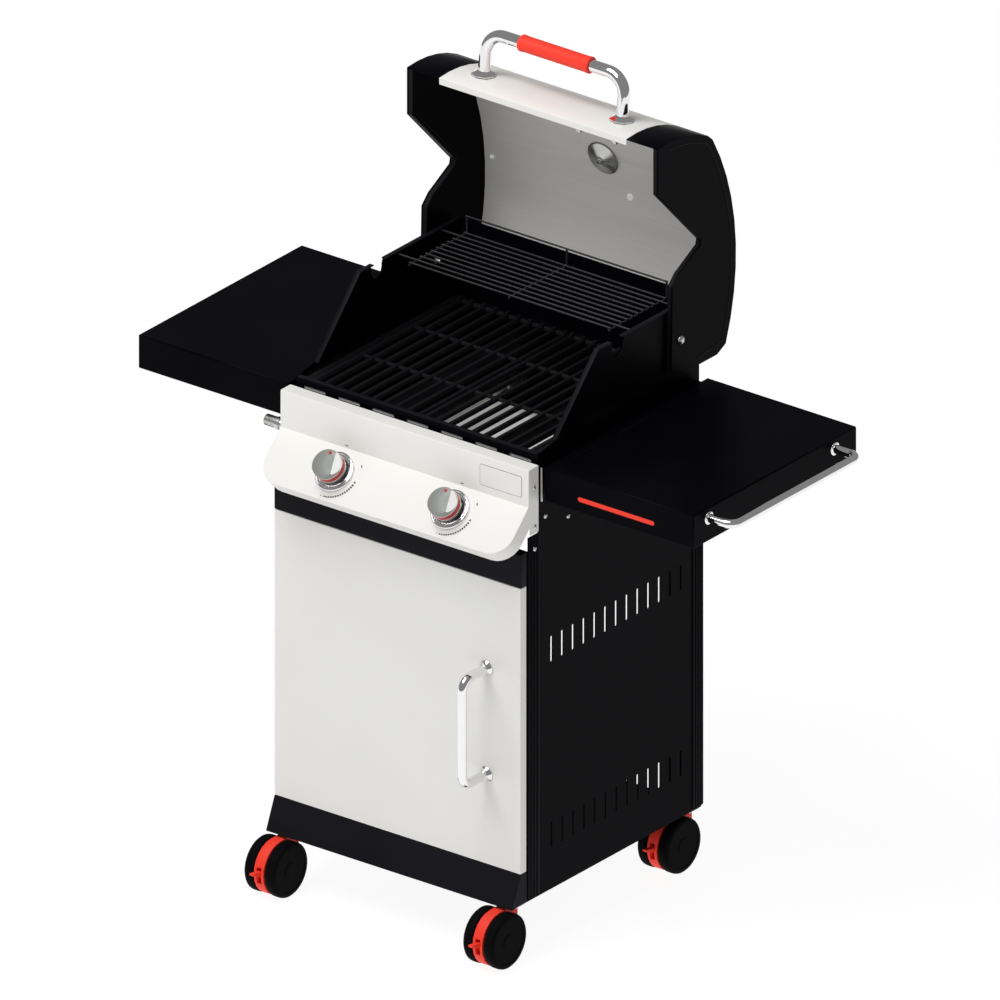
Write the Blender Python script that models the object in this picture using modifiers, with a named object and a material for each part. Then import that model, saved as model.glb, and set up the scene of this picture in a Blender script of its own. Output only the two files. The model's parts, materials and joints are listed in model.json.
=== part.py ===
"""Two-burner gas barbecue grill on a four-castor cabinet, with its lid open.

Metres. +X is the user's right, -Y is the front, +Z is up. The origin is on the ground below the
middle of the cabinet.
"""
import math

import bmesh
import bpy
from mathutils import Matrix, Vector

# Driving sizes
SHEET = 0.0015          # folded sheet of the cabinet, the shelves and the panels
PLATE = 0.0020          # thicker sheet of the firebox and the lid
GAP = 0.0003            # clearance that neighbouring pieces keep

CABINET_X = 0.255       # half the width of the cabinet
CABINET_FRONT = -0.236
CABINET_REAR = 0.235
BASE_Z = 0.100          # underside of the cabinet
SIDE_TOP = 0.868
REAR_FLANGE = 0.075
FRONT_FLANGE = 0.030
POST_TOP = 0.735        # the front flange stops here, below the control panel

DOOR_FRONT = -0.254
DOOR_THICK = 0.016
DOOR_LOW = 0.157
DOOR_HIGH = 0.674
DOOR_AXIS = (-0.250, -0.2475)
PIN_RADIUS = 0.0025

SLOT_COUNT = 13
SLOT_PITCH = 0.0289
SLOT_HALF_HEIGHT = 0.0235
SLOT_HALF_WIDTH = 0.0023
SLOT_ROWS = (0.200, 0.536)
SLOT_MIDDLE = 0.002

CREASE = (-0.235, 0.8155)      # Y, Z of the bend between the two faces of the control panel
PANEL_X = 0.257
PANEL_TOP = 0.882
PANEL_REAR = -0.208
PANEL_FACE = 0.0966            # length of the slanted face, which leans at 45 degrees
PANEL_DEPTH = 0.030
PANEL_CORNER = 0.040
KNOB_X = 0.1195
KNOB_DROP = 0.0445             # down the slanted face from the bend

FIREBOX_X = 0.250
FIREBOX_FRONT = -0.201
FIREBOX_REAR = 0.232
FIREBOX_FLOOR = 0.757
LIP_TOP = 0.896
LIP_SLOT_Z = 0.8808
WALL_TOP = 1.026
LEDGE_Z = 0.886
GRATE_TOP = 0.893
GRATE_THICK = 0.006
GRATE_FRONT = -0.195
GRATE_REAR = 0.214
GRATE_SIDE = 0.241
BAR_PITCH = 0.0243
BAR_WIDTH = 0.0110
CROSS_BARS = (-0.057, 0.081)
BURNER_Z = 0.776
BURNER_RADIUS = 0.011
MANIFOLD = (-0.212, 0.807)

SHELF_INNER = 0.2653
SHELF_OUTER = 0.575
SHELF_FRONT = -0.205
SHELF_REAR = 0.234
SHELF_TOP = 0.880
SHELF_DEPTH = 0.061

LID_PIVOT = (0.1684, 0.9703)   # Y, Z of the hinge bolts
LID_EDGE = (0.109, 1.337)      # Y, Z of the lid's front edge, with the lid open
LID_X = 0.2605
LID_SHEET_X = 0.194
HANDLE_X = 0.143
HANDLE_FOOT_Y = 0.1625
HANDLE_BAR = (0.1735, 1.4115)  # Y, Z of the bar, whose legs stand square on the lid
HANDLE_RADIUS = 0.0105

WHEEL_RADIUS = 0.048
WHEEL_WIDTH = 0.0205
WHEEL_GAP = 0.022
CASTOR_X = 0.2265
CASTOR_Y = (-0.2865, 0.1815)
CASTOR_TRAIL = 0.035
HOOD_WIDTH = 0.0195
PEDAL_HALF_WIDTH = 0.0042

COLLECTION = "gas_barbecue_grill"
FINISHES = {
    "white_enamel": ((0.76, 0.755, 0.725), 0.38, 0.0),
    "black_enamel": ((0.010, 0.010, 0.013), 0.30, 0.0),
    "cast_iron": ((0.012, 0.012, 0.014), 0.55, 0.0),
    "chrome": ((0.75, 0.75, 0.76), 0.10, 1.0),
    "steel": ((0.55, 0.55, 0.54), 0.35, 1.0),
    "brass": ((0.60, 0.46, 0.22), 0.35, 1.0),
    "red_plastic": ((0.85, 0.06, 0.035), 0.45, 0.0),
    "knob_grey": ((0.30, 0.30, 0.29), 0.40, 0.6),
    "black_rubber": ((0.008, 0.008, 0.009), 0.65, 0.0),
}

# World axes that a flat outline's own x, y and z turn to, for each extrusion direction
TURN_TO = {
    "X": Matrix(((0, 0, 1, 0), (1, 0, 0, 0), (0, 1, 0, 0), (0, 0, 0, 1))),
    "Y": Matrix(((1, 0, 0, 0), (0, 0, -1, 0), (0, 1, 0, 0), (0, 0, 0, 1))),
    "Z": Matrix.Identity(4),
}


def clear_scene():
    for thing in list(bpy.data.objects):
        bpy.data.objects.remove(thing, do_unlink=True)


def new_collection(name):
    collection = bpy.data.collections.new(name)
    bpy.context.scene.collection.children.link(collection)
    return collection


def finish_of(name):
    material = bpy.data.materials.get(name)
    if material is None:
        colour, roughness, metallic = FINISHES[name]
        material = bpy.data.materials.new(name)
        material.use_nodes = True
        shader = material.node_tree.nodes["Principled BSDF"]
        shader.inputs["Base Color"].default_value = (*colour, 1.0)
        shader.inputs["Roughness"].default_value = roughness
        shader.inputs["Metallic"].default_value = metallic
    return material


def place(name, data, matrix, finish):
    """Links an object with a finish, or a cutter where finish is None."""
    thing = bpy.data.objects.new(name, data)
    thing.matrix_world = matrix
    if finish is None:
        cutters.objects.link(thing)
        thing.hide_render = True
        thing.display_type = "WIRE"
    else:
        parts.objects.link(thing)
        data.materials.clear()
        data.materials.append(finish_of(finish))
    return thing


def mesh_from(shape, name):
    mesh = bpy.data.meshes.new(name)
    bmesh.ops.recalc_face_normals(shape, faces=shape.faces)
    shape.to_mesh(mesh)
    shape.free()
    return mesh


def box(name, low, high, finish):
    low, high = Vector(low), Vector(high)
    shape = bmesh.new()
    bmesh.ops.create_cube(shape, size=1.0)
    bmesh.ops.scale(shape, vec=high - low, verts=shape.verts)
    return place(name, mesh_from(shape, name), Matrix.Translation((low + high) / 2), finish)


def facing(direction):
    """Turns local +Z to a direction."""
    return Vector((0, 0, 1)).rotation_difference(Vector(direction)).to_matrix().to_4x4()


def rod(name, start, end, radius, finish, segments=16, end_radius=None):
    start, end = Vector(start), Vector(end)
    shape = bmesh.new()
    bmesh.ops.create_cone(
        shape, cap_ends=True, segments=segments, radius1=radius,
        radius2=radius if end_radius is None else end_radius, depth=(end - start).length,
    )
    matrix = Matrix.Translation((start + end) / 2) @ facing(end - start)
    thing = place(name, mesh_from(shape, name), matrix, finish)
    smooth(thing)
    return thing


def smooth(thing):
    thing.data.shade_smooth()
    thing.data.set_sharp_from_angle(angle=math.radians(35))


def from_curve(name, curve, matrix, finish):
    """Makes a curve a welded mesh, so that it can be cut and joined."""
    draft = bpy.data.objects.new(name + "_draft", curve)
    bpy.context.scene.collection.objects.link(draft)
    draft.matrix_world = matrix
    graph = bpy.context.evaluated_depsgraph_get()
    mesh = bpy.data.meshes.new_from_object(draft.evaluated_get(graph))
    bpy.data.objects.remove(draft, do_unlink=True)
    shape = bmesh.new()
    shape.from_mesh(mesh)
    bmesh.ops.remove_doubles(shape, verts=shape.verts, dist=1e-6)
    bpy.data.meshes.remove(mesh)
    thing = place(name, mesh_from(shape, name), matrix, finish)
    smooth(thing)
    return thing


def slab(name, outline, along, low, high, finish, frame=None, windows=()):
    """A flat outline with its windows, extruded from low to high along one axis of the frame."""
    curve = bpy.data.curves.new(name, "CURVE")
    curve.dimensions = "2D"
    curve.fill_mode = "BOTH"
    curve.extrude = (high - low) / 2
    for ring in (outline, *windows):
        spline = curve.splines.new("POLY")
        spline.points.add(len(ring) - 1)
        for point, (a, b) in zip(spline.points, ring):
            point.co = (a, b, 0.0, 1.0)
        spline.use_cyclic_u = True
    middle = {"X": (1, 0, 0), "Y": (0, 1, 0), "Z": (0, 0, 1)}[along]
    matrix = Matrix.Translation(Vector(middle) * (low + high) / 2) @ TURN_TO[along]
    if frame is not None:
        matrix = frame @ matrix
    return from_curve(name, curve, matrix, finish)


def tube(name, points, radius, finish, resolution=2):
    curve = bpy.data.curves.new(name, "CURVE")
    curve.dimensions = "3D"
    curve.bevel_depth = radius
    curve.bevel_resolution = resolution
    curve.use_fill_caps = True
    spline = curve.splines.new("POLY")
    spline.points.add(len(points) - 1)
    for point, place_of in zip(spline.points, points):
        point.co = (*place_of, 1.0)
    return from_curve(name, curve, Matrix.Identity(4), finish)


def turned(name, profile, at, direction, finish, steps=24):
    """A profile of (radius, height) points, spun about a direction through a point."""
    mesh = bpy.data.meshes.new(name)
    points = [(radius, 0.0, height) for radius, height in profile]
    edges = [(i, i + 1) for i in range(len(points) - 1)]
    mesh.from_pydata(points, edges, [])
    thing = place(name, mesh, Matrix.Translation(at) @ facing(direction), finish)
    spin = thing.modifiers.new("spin", "SCREW")
    spin.steps = steps
    spin.render_steps = steps
    spin.use_merge_vertices = True
    spin.merge_threshold = 1e-5
    spin.use_smooth_shade = False
    return thing


def cut(body, cutter, operation="DIFFERENCE"):
    modifier = body.modifiers.new(operation.lower(), "BOOLEAN")
    modifier.operation = operation
    modifier.solver = "EXACT"
    modifier.object = cutter


def join(body, other):
    cut(body, other, "UNION")


def soften(thing, width, segments=1):
    bevel = thing.modifiers.new("soften", "BEVEL")
    bevel.width = width
    bevel.segments = segments
    bevel.limit_method = "ANGLE"
    bevel.angle_limit = math.radians(40)


def axis_empty(name, at):
    empty = bpy.data.objects.new(name, None)
    empty.location = at
    empty.empty_display_size = 0.03
    cutters.objects.link(empty)
    return empty


def carry(empty, things):
    """Parents pieces to the empty on their joint's axis, where they stand."""
    back = Matrix.Translation(-empty.location)
    for thing in things:
        thing.parent = empty
        thing.matrix_parent_inverse = back


def arc(start, end, rise, steps):
    """Points on the arc from start to end that bulges to the left of the way by rise."""
    start, end = Vector(start), Vector(end)
    chord = end - start
    radius = chord.length ** 2 / (8 * abs(rise)) + abs(rise) / 2
    left = Vector((-chord.y, chord.x)).normalized() * math.copysign(1, rise)
    centre = (start + end) / 2 - left * (radius - abs(rise))
    first = start - centre
    sweep = first.angle_signed(end - centre) * -1
    points = []
    for step in range(steps + 1):
        angle = sweep * step / steps
        turn = Matrix.Rotation(angle, 2)
        points.append(tuple(centre + turn @ first))
    return points


def rounded_corner(before, corner, after, radius, steps=5):
    """Points of a round corner between two straight runs."""
    before, corner, after = (Vector(p) for p in (before, corner, after))
    one = (before - corner).normalized()
    two = (after - corner).normalized()
    half = one.angle(two) / 2
    centre = corner + (one + two).normalized() * radius / math.sin(half)
    first = corner + one * radius / math.tan(half) - centre
    last = corner + two * radius / math.tan(half) - centre
    sweep = first.angle(last)
    points = []
    for step in range(steps + 1):
        turned_by = sweep * step / steps
        spoke = (first * math.sin(sweep - turned_by) + last * math.sin(turned_by)) / math.sin(sweep)
        points.append(tuple(centre + spoke))
    return points


def slot_outline(centre, half_long, half_wide, upright):
    """A slot with round ends."""
    points = []
    for side in (1, -1):
        for step in range(4):
            angle = math.pi * step / 3
            along = side * (half_long - half_wide + half_wide * math.sin(angle))
            across = side * half_wide * math.cos(angle)
            a, b = (across, along) if upright else (along, -across)
            points.append((centre[0] + a, centre[1] + b))
    return points


def inset(path, distance):
    """The path moved to its right by a distance."""
    moved = []
    for i, point in enumerate(path):
        here = Vector(point)
        back = here - Vector(path[i - 1]) if i > 0 else None
        ahead = Vector(path[i + 1]) - here if i < len(path) - 1 else None
        runs = [run.normalized() for run in (back, ahead) if run is not None]
        mean = sum(runs, Vector((0, 0))).normalized()
        right = Vector((mean.y, -mean.x))
        stretch = 1.0 / max(0.5, right.dot(Vector((runs[0].y, -runs[0].x))))
        moved.append(tuple(here + right * distance * stretch))
    return moved


def ribbon(path, near, far):
    """The outline of a sheet that follows a path, between two insets."""
    return inset(path, near) + inset(path, far)[::-1]


# ------------------------------------------------------------------ cabinet
def side_panel(name, side):
    """A folded side with a wide rear flange, a narrow front flange and two rows of slots."""
    outer, inner = side * CABINET_X, side * (CABINET_X - SHEET)
    front_edge, rear_edge = side * (CABINET_X - FRONT_FLANGE), side * (CABINET_X - REAR_FLANGE)
    section = [
        (front_edge, CABINET_FRONT), (outer, CABINET_FRONT), (outer, CABINET_REAR), (rear_edge, CABINET_REAR),
        (rear_edge, CABINET_REAR - SHEET), (inner, CABINET_REAR - SHEET), (inner, CABINET_FRONT + SHEET),
        (front_edge, CABINET_FRONT + SHEET),
    ]
    panel = slab(name, section, "Z", BASE_Z + 0.004, SIDE_TOP, "black_enamel")
    corner_low = (-CABINET_X - 0.01, CABINET_FRONT - 0.01, POST_TOP)
    corner_high = (CABINET_X + 0.01, PANEL_REAR + GAP, SIDE_TOP + 0.01)
    cut(panel, box(name + "_corner", corner_low, corner_high, None))
    first_y = SLOT_MIDDLE - (SLOT_COUNT - 1) / 2 * SLOT_PITCH
    slots = [
        slot_outline((first_y + i * SLOT_PITCH, z), SLOT_HALF_HEIGHT, SLOT_HALF_WIDTH, True)
        for z in SLOT_ROWS for i in range(SLOT_COUNT)
    ]
    start = side * CABINET_X - 0.01
    cut(panel, slab(name + "_slots", slots[0], "X", start, start + 0.02, None, windows=slots[1:]))
    if side < 0:
        cut(panel, rod("inlet_notch", (start, *MANIFOLD), (start + 0.02, *MANIFOLD), 0.009, None, 12))
    return panel


def base_panel():
    """The cabinet's floor, turned up at both sides, with the castors below its corners."""
    floor_x = CABINET_X - SHEET - GAP
    panel = box(
        "base_panel", (-floor_x, -0.272, BASE_Z), (floor_x, CABINET_REAR - SHEET - GAP, BASE_Z + 0.003),
        "black_enamel",
    )
    for side in (-1, 1):
        edges = sorted((side * floor_x, side * (floor_x - SHEET)))
        low = (edges[0], -0.232, BASE_Z + 0.001)
        high = (edges[1], CABINET_REAR - SHEET - GAP, BASE_Z + 0.040)
        join(panel, box("base_upturn", low, high, None))
    return panel


def folded_cover(name, outline, inner, half_width, wall):
    """A folded front cover, hollow from behind, with closed ends."""
    cover = slab(name, outline, "X", -half_width, half_width, "black_enamel")
    hollow = slab(name + "_hollow", inner, "X", -half_width + wall, half_width - wall, None)
    cut(cover, hollow)
    return cover


def kick_panel():
    rear = CABINET_FRONT - GAP
    top = DOOR_LOW - 0.001
    toe = -0.277
    outline = [(DOOR_FRONT, top), (toe, BASE_Z), (toe + 0.003, BASE_Z), (rear, BASE_Z + 0.0035), (rear, top)]
    lean = (toe - DOOR_FRONT) / (top - BASE_Z)
    inner = [
        (DOOR_FRONT + SHEET, top - SHEET), (toe + SHEET - lean * -0.02, BASE_Z - 0.02),
        (rear + 0.02, BASE_Z - 0.02), (rear + 0.02, top - SHEET),
    ]
    return folded_cover("kick_panel", outline, inner, CABINET_X, SHEET)


def front_header():
    rear = CABINET_FRONT - GAP
    low, high = DOOR_HIGH + 0.001, POST_TOP
    outline = [(DOOR_FRONT, low), (DOOR_FRONT, high), (rear, high), (rear, low)]
    inner = [
        (DOOR_FRONT + SHEET, low + SHEET), (DOOR_FRONT + SHEET, high - SHEET),
        (rear + 0.02, high - SHEET), (rear + 0.02, low + SHEET),
    ]
    cover = folded_cover("front_header", outline, inner, CABINET_X, SHEET)
    cut(cover, pin_hole(low - 0.005, low + 0.005))
    return cover


def pin_hole(low, high):
    x, y = DOOR_AXIS
    return rod("pin_hole", (x, y, low), (x, y, high), PIN_RADIUS + GAP, None, 12)


def rear_brace():
    inner = CABINET_X - SHEET - GAP
    rear = CABINET_REAR - SHEET - GAP
    outline = [(rear, 0.640), (rear, 0.690), (rear - 0.018, 0.690), (rear - 0.018, 0.690 - SHEET),
               (rear - SHEET, 0.690 - SHEET), (rear - SHEET, 0.640)]
    return slab("rear_brace", outline, "X", -inner, inner, "black_enamel")


# ------------------------------------------------------------------ door
def door():
    rear = DOOR_FRONT + DOOR_THICK
    shell = box("door_panel", (-CABINET_X, DOOR_FRONT, DOOR_LOW), (CABINET_X, rear, DOOR_HIGH), "white_enamel")
    soften(shell, 0.0008)
    hollow = box(
        "door_hollow", (-CABINET_X + SHEET, DOOR_FRONT + SHEET, DOOR_LOW + SHEET),
        (CABINET_X - SHEET, rear + 0.02, DOOR_HIGH - SHEET), None,
    )
    cut(shell, hollow)
    cut(shell, pin_hole(DOOR_LOW - 0.005, DOOR_LOW + 0.005))
    cut(shell, pin_hole(DOOR_HIGH - 0.005, DOOR_HIGH + 0.005))
    inner_x = CABINET_X - SHEET - GAP
    liner = box(
        "door_liner", (-inner_x, rear - SHEET, DOOR_LOW + SHEET + GAP),
        (inner_x, rear, DOOR_HIGH - SHEET - GAP), "white_enamel",
    )
    x, front = 0.184, DOOR_FRONT - GAP
    reach = DOOR_FRONT - 0.065
    bend = 0.020
    low, high = 0.320, 0.512
    route = [(x, front, low)]
    route += rounded_corner((x, front, low), (x, reach, low), (x, reach, high), bend)
    route += rounded_corner((x, reach, low), (x, reach, high), (x, front, high), bend)
    route.append((x, front, high))
    handle = tube("door_handle", route, 0.008, "chrome")
    for z in (low, high):
        collar = rod("handle_collar", (x, front, z), (x, front - 0.009, z), 0.0135, None, 16, 0.010)
        join(handle, collar)
    axis = axis_empty("door_axis", (*DOOR_AXIS, DOOR_LOW))
    carry(axis, (shell, liner, handle))


def hinge_pins():
    x, y = DOOR_AXIS
    reach = 0.012
    rod("upper_hinge_pin", (x, y, DOOR_HIGH - reach), (x, y, DOOR_HIGH + reach), PIN_RADIUS, "steel", 12)
    rod("lower_hinge_pin", (x, y, DOOR_LOW - 0.001 + GAP), (x, y, DOOR_LOW + reach), PIN_RADIUS, "steel", 12)


# ------------------------------------------------------------------ firebox and what it holds
def firebox():
    notch = (0.012, 0.015)     # middle and half width of the spit notch
    notch_floor = WALL_TOP - 0.030
    outline = [
        (FIREBOX_FRONT, FIREBOX_FLOOR), (FIREBOX_FRONT, LIP_TOP), (-0.152, LIP_TOP + 0.009),
        (-0.039, WALL_TOP), (notch[0] - notch[1], WALL_TOP),
    ]
    for step in range(7):
        angle = math.pi * step / 6
        outline.append((notch[0] - notch[1] * math.cos(angle), notch_floor + 0.015 * (1 - math.sin(angle))))
    shoulder, round_off = notch[0] + notch[1], 0.009
    outline += [
        (shoulder, WALL_TOP - round_off), (shoulder + round_off * 0.3, WALL_TOP - round_off * 0.3),
        (shoulder + round_off, WALL_TOP), (FIREBOX_REAR, WALL_TOP), (FIREBOX_REAR, FIREBOX_FLOOR),
    ]
    body = slab("firebox", outline, "X", -FIREBOX_X, FIREBOX_X, "black_enamel")
    hollow = box(
        "firebox_hollow", (-FIREBOX_X + PLATE, FIREBOX_FRONT + PLATE, FIREBOX_FLOOR + 0.003),
        (FIREBOX_X - PLATE, FIREBOX_REAR - PLATE, WALL_TOP + 0.05), None,
    )
    cut(body, hollow)
    ledges = ((FIREBOX_FRONT + 0.001, GRATE_FRONT + 0.012), (GRATE_REAR - 0.012, FIREBOX_REAR - 0.001))
    for low_y, high_y in ledges:
        low = (-FIREBOX_X + 0.001, low_y, LEDGE_Z - PLATE)
        join(body, box("grate_ledge", low, (FIREBOX_X - 0.001, high_y, LEDGE_Z - GAP), None))
    for side in (-1, 1):
        edges = sorted((side * (FIREBOX_X - 0.001), side * (SHELF_INNER - 0.001)))
        low = (edges[0], PANEL_REAR + 0.012, SIDE_TOP + GAP)
        high = (edges[1], FIREBOX_REAR - 0.001, SIDE_TOP + 0.0025)
        join(body, box("side_flange", low, high, None))
        runner = [(0.1765, FIREBOX_FLOOR + 0.001), (0.1765, 0.7365), (0.168, 0.7365), (0.168, 0.7345),
                  (0.1785, 0.7345), (0.1785, FIREBOX_FLOOR + 0.001)]
        mirrored = [(side * x, z) for x, z in runner]
        join(body, slab("tray_runner", mirrored, "Y", -0.165, 0.215, None))
    drain_low, drain_high = (-0.150, -0.150, FIREBOX_FLOOR - 0.01), (0.150, 0.168, FIREBOX_FLOOR + 0.01)
    cut(body, box("drain_hole", drain_low, drain_high, None))
    for side in (-1, 1):
        x = side * KNOB_X
        front = FIREBOX_FRONT - 0.01
        cut(body, rod("burner_hole", (x, front, BURNER_Z), (x, front + 0.02, BURNER_Z), 0.0125, None))
        start = side * FIREBOX_X - 0.01
        cut(body, rod("bolt_hole", (start, *LID_PIVOT), (start + 0.02, *LID_PIVOT), 0.0044, None, 12))
    slots = [slot_outline(((i - 3) * 0.071, LIP_SLOT_Z), 0.0232, 0.0027, False) for i in range(7)]
    ends = (FIREBOX_FRONT - 0.01, FIREBOX_FRONT + 0.003)
    cut(body, slab("lip_slots", slots[0], "Y", *ends, None, windows=slots[1:]))
    return body


def rectangle(low, high):
    return [low, (high[0], low[1]), high, (low[0], high[1])]


def grate(name, side):
    """A cast grate: a thick plate with long windows between its bars."""
    border, half_cross = 0.011, 0.0045
    seam = side * 0.001
    rows = [GRATE_FRONT + border]
    for bar in CROSS_BARS:
        rows += [bar - half_cross, bar + half_cross]
    rows.append(GRATE_REAR - border)
    windows = []
    for i in range(int((GRATE_SIDE - BAR_WIDTH) / BAR_PITCH)):
        near = seam + side * (BAR_WIDTH + i * BAR_PITCH)
        xs = sorted((near, near + side * (BAR_PITCH - BAR_WIDTH)))
        windows += [rectangle((xs[0], front), (xs[1], back)) for front, back in zip(rows[0::2], rows[1::2])]
    edges = sorted((seam, side * GRATE_SIDE))
    outline = rectangle((edges[0], GRATE_FRONT), (edges[1], GRATE_REAR))
    return slab(name, outline, "Z", GRATE_TOP - GRATE_THICK, GRATE_TOP, "cast_iron", windows=windows)


def warming_rack():
    """A wire rack: long wires on three cross wires, with a raised rear wire on posts."""
    z, front, back, half = 1.021, 0.049, 0.195, 0.209
    wire, cross = 0.0018, 0.0022
    rear = back + 0.0055
    wires = 11
    pitch = (back - front) / (wires - 1)
    rack = None
    for i in range(wires):
        y = front + i * pitch
        reach = 0.2475 if i in (1, wires - 2) else half
        ends = ((-reach, y, z), (reach, y, z))
        if rack is None:
            rack = rod("warming_rack", *ends, wire, "chrome", 6)
        else:
            join(rack, rod("rack_wire", *ends, wire, None, 6))
    below = z - wire - cross + 0.0012
    for x in (-half + 0.002, 0.0, half - 0.002):
        join(rack, rod("rack_cross", (x, front - 0.004, below), (x, rear + 0.004, below), cross, None, 6))
        join(rack, rod("rack_post", (x, rear, below - 0.0005), (x, rear, z + 0.031), cross * 0.9, None, 6))
    join(rack, rod("rack_rear", (-half, rear, z + 0.028), (half, rear, z + 0.028), wire * 0.95, None, 6))
    return rack


def burner(name, side):
    """A tube burner, open at the valve end and held by a bracket on the rear wall."""
    x = side * KNOB_X
    body = rod(name, (x, -0.214, BURNER_Z), (x, 0.185, BURNER_Z), BURNER_RADIUS, "steel")
    cut(body, rod(name + "_mouth", (x, -0.23, BURNER_Z), (x, -0.205, BURNER_Z), 0.008, None, 12))
    low = (x - 0.016, 0.182, BURNER_Z - 0.006)
    high = (x + 0.016, FIREBOX_REAR - PLATE - GAP, BURNER_Z + 0.004)
    join(body, box(name + "_bracket", low, high, None))
    return body


def flame_tamer(name, side):
    """A roof-shaped shield over a burner, with its feet on the ends of the firebox."""
    x, half, top, eaves = side * KNOB_X, 0.030, 0.862, 0.842
    roof = [(x - half, eaves), (x, top), (x + half, eaves), (x + half, eaves - PLATE), (x, top - PLATE * 1.3),
            (x - half, eaves - PLATE)]
    shield = slab(name, roof, "Y", -0.180, 0.205, "cast_iron")
    for y in (FIREBOX_FRONT + PLATE + GAP, 0.200):
        end = FIREBOX_REAR - PLATE - GAP if y > 0 else -0.170
        join(shield, box(name + "_tail", (x - 0.008, y, eaves + 0.010), (x + 0.008, end, eaves + 0.014), None))
    return shield


def grease_tray():
    x, low, high, front, rear = 0.175, 0.737, 0.753, -0.160, 0.212
    tray = box("grease_tray", (-x, front, low), (x, rear, high), "steel")
    wall = SHEET
    cut(tray, box("tray_hollow", (-x + wall, front + wall, low + wall), (x - wall, rear - wall, high + 0.02), None))
    join(tray, box("tray_pull", (-0.060, rear - wall / 2, high - 0.006), (0.060, rear + 0.018, high - 0.004), None))
    axis = axis_empty("tray_axis", (0.0, rear, low))
    carry(axis, (tray,))


def gas_train():
    """Manifold, valves and the stems that the knobs turn."""
    y, z = MANIFOLD
    manifold = rod("gas_manifold", (-0.285, y, z), (0.150, y, z), 0.007, "steel", 12)
    join(manifold, rod("inlet", (-0.303, y, z), (-0.262, y, z), 0.0095, None, 12))
    for label, side in (("left", -1), ("right", 1)):
        frame = knob_frame(side)
        x = side * KNOB_X
        top = frame @ Vector((0.0, 0.0125, -0.034))
        join(manifold, rod("branch", (x, y, z), top, 0.005, None, 8))
        valve = box(f"{label}_valve", (-0.011, -0.011, -0.047), (0.011, 0.011, -0.021), "brass")
        valve.matrix_world = frame @ valve.matrix_world
        bore = rod(f"{label}_valve_bore", (0, 0, -0.033), (0, 0, -0.015), 0.0046, None, 12)
        bore.matrix_world = frame @ bore.matrix_world
        cut(valve, bore)
        stem = rod(f"{label}_valve_stem", (0, 0, -0.028), (0, 0, 0.022), 0.004, "steel", 12)
        stem.matrix_world = frame @ stem.matrix_world


# ------------------------------------------------------------------ control panel and knobs
def face_frame():
    """The slanted face: x to the right, y up the face, z out of it, from the middle of the bend."""
    lean = Matrix.Rotation(math.radians(45), 4, "X")
    return Matrix.Translation((0.0, *CREASE)) @ lean


def knob_frame(side):
    return face_frame() @ Matrix.Translation((side * KNOB_X, -KNOB_DROP, 0.0))


def on_face(down, depth):
    """Y, Z of a point down the slanted face from the bend and behind its surface."""
    slope = math.sqrt(0.5)
    return (CREASE[0] - slope * down + slope * depth, CREASE[1] - slope * down - slope * depth)


def panel_block(name, outline, half, radius, floor, finish):
    """A folded block whose slanted face has two round lower corners."""
    block = slab(name, outline, "X", -0.3, 0.3, finish)
    left = rounded_corner((-half, 0.0), (-half, -floor), (half, -floor), radius, 6)
    right = rounded_corner((-half, -floor), (half, -floor), (half, 0.0), radius, 6)
    face = [(-half, 0.12)] + left + right + [(half, 0.12)]
    cut(block, slab(name + "_sides", face, "Z", -0.12, 0.10, None, face_frame()), "INTERSECT")
    return block


def control_panel():
    y, z = CREASE
    tab_low, tab_front = 0.7625, -0.231
    rear_of_face = on_face(0.0, PANEL_DEPTH)
    joint = (tab_front, rear_of_face[1] + tab_front - rear_of_face[0])
    below = PANEL_FACE + 0.01
    outline = [
        (y, z), (y, PANEL_TOP - 0.003), (y + 0.001, PANEL_TOP), (PANEL_REAR, PANEL_TOP), (PANEL_REAR, tab_low),
        (tab_front, tab_low), joint, on_face(below, PANEL_DEPTH), on_face(below, 0.0),
    ]
    body = panel_block("control_panel", outline, PANEL_X, PANEL_CORNER, PANEL_FACE, "white_enamel")
    bend = math.tan(math.radians(22.5)) * SHEET
    deep = on_face(below, 0.060)
    behind = PANEL_REAR + 0.020
    hollow = [
        (y + SHEET, z - bend), (y + SHEET, PANEL_TOP - SHEET), (behind, PANEL_TOP - SHEET), (behind, deep[1]),
        deep, on_face(below, SHEET),
    ]
    inner_sizes = (PANEL_X - SHEET, PANEL_CORNER - SHEET, PANEL_FACE - SHEET)
    cut(body, panel_block("panel_hollow", hollow, *inner_sizes, None))
    for side in (-1, 1):
        hole = rod("stem_hole", (0, 0, -0.01), (0, 0, 0.01), 0.0065, None, 12)
        hole.matrix_world = knob_frame(side) @ hole.matrix_world
        cut(body, hole)
    cut(body, rod("inlet_hole", (-PANEL_X - 0.01, *MANIFOLD), (-PANEL_X + 0.01, *MANIFOLD), 0.011, None, 12))
    return body


def knob(label, side):
    frame = knob_frame(side)
    centre = frame.translation
    out = frame.to_3x3() @ Vector((0, 0, 1))
    low = GAP
    ring = [(0.0085, low + 0.0015), (0.0085, low), (0.0355, low), (0.0355, low + 0.004), (0.0340, low + 0.006),
            (0.0310, low + 0.006), (0.0290, low + 0.0015), (0.0085, low + 0.0015)]
    turned(f"{label}_bezel", ring[::-1], centre, out, "chrome", 24)
    back, front = 0.0095, 0.0370
    profile = [(0.0, front), (0.0235, front), (0.0258, front - 0.003), (0.0265, front - 0.012),
               (0.0268, front - 0.020), (0.0255, back), (0.0043, back), (0.0043, 0.0225), (0.0, 0.0225)]
    turned(f"{label}_knob", profile, centre, out, "knob_grey", 24)


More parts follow.
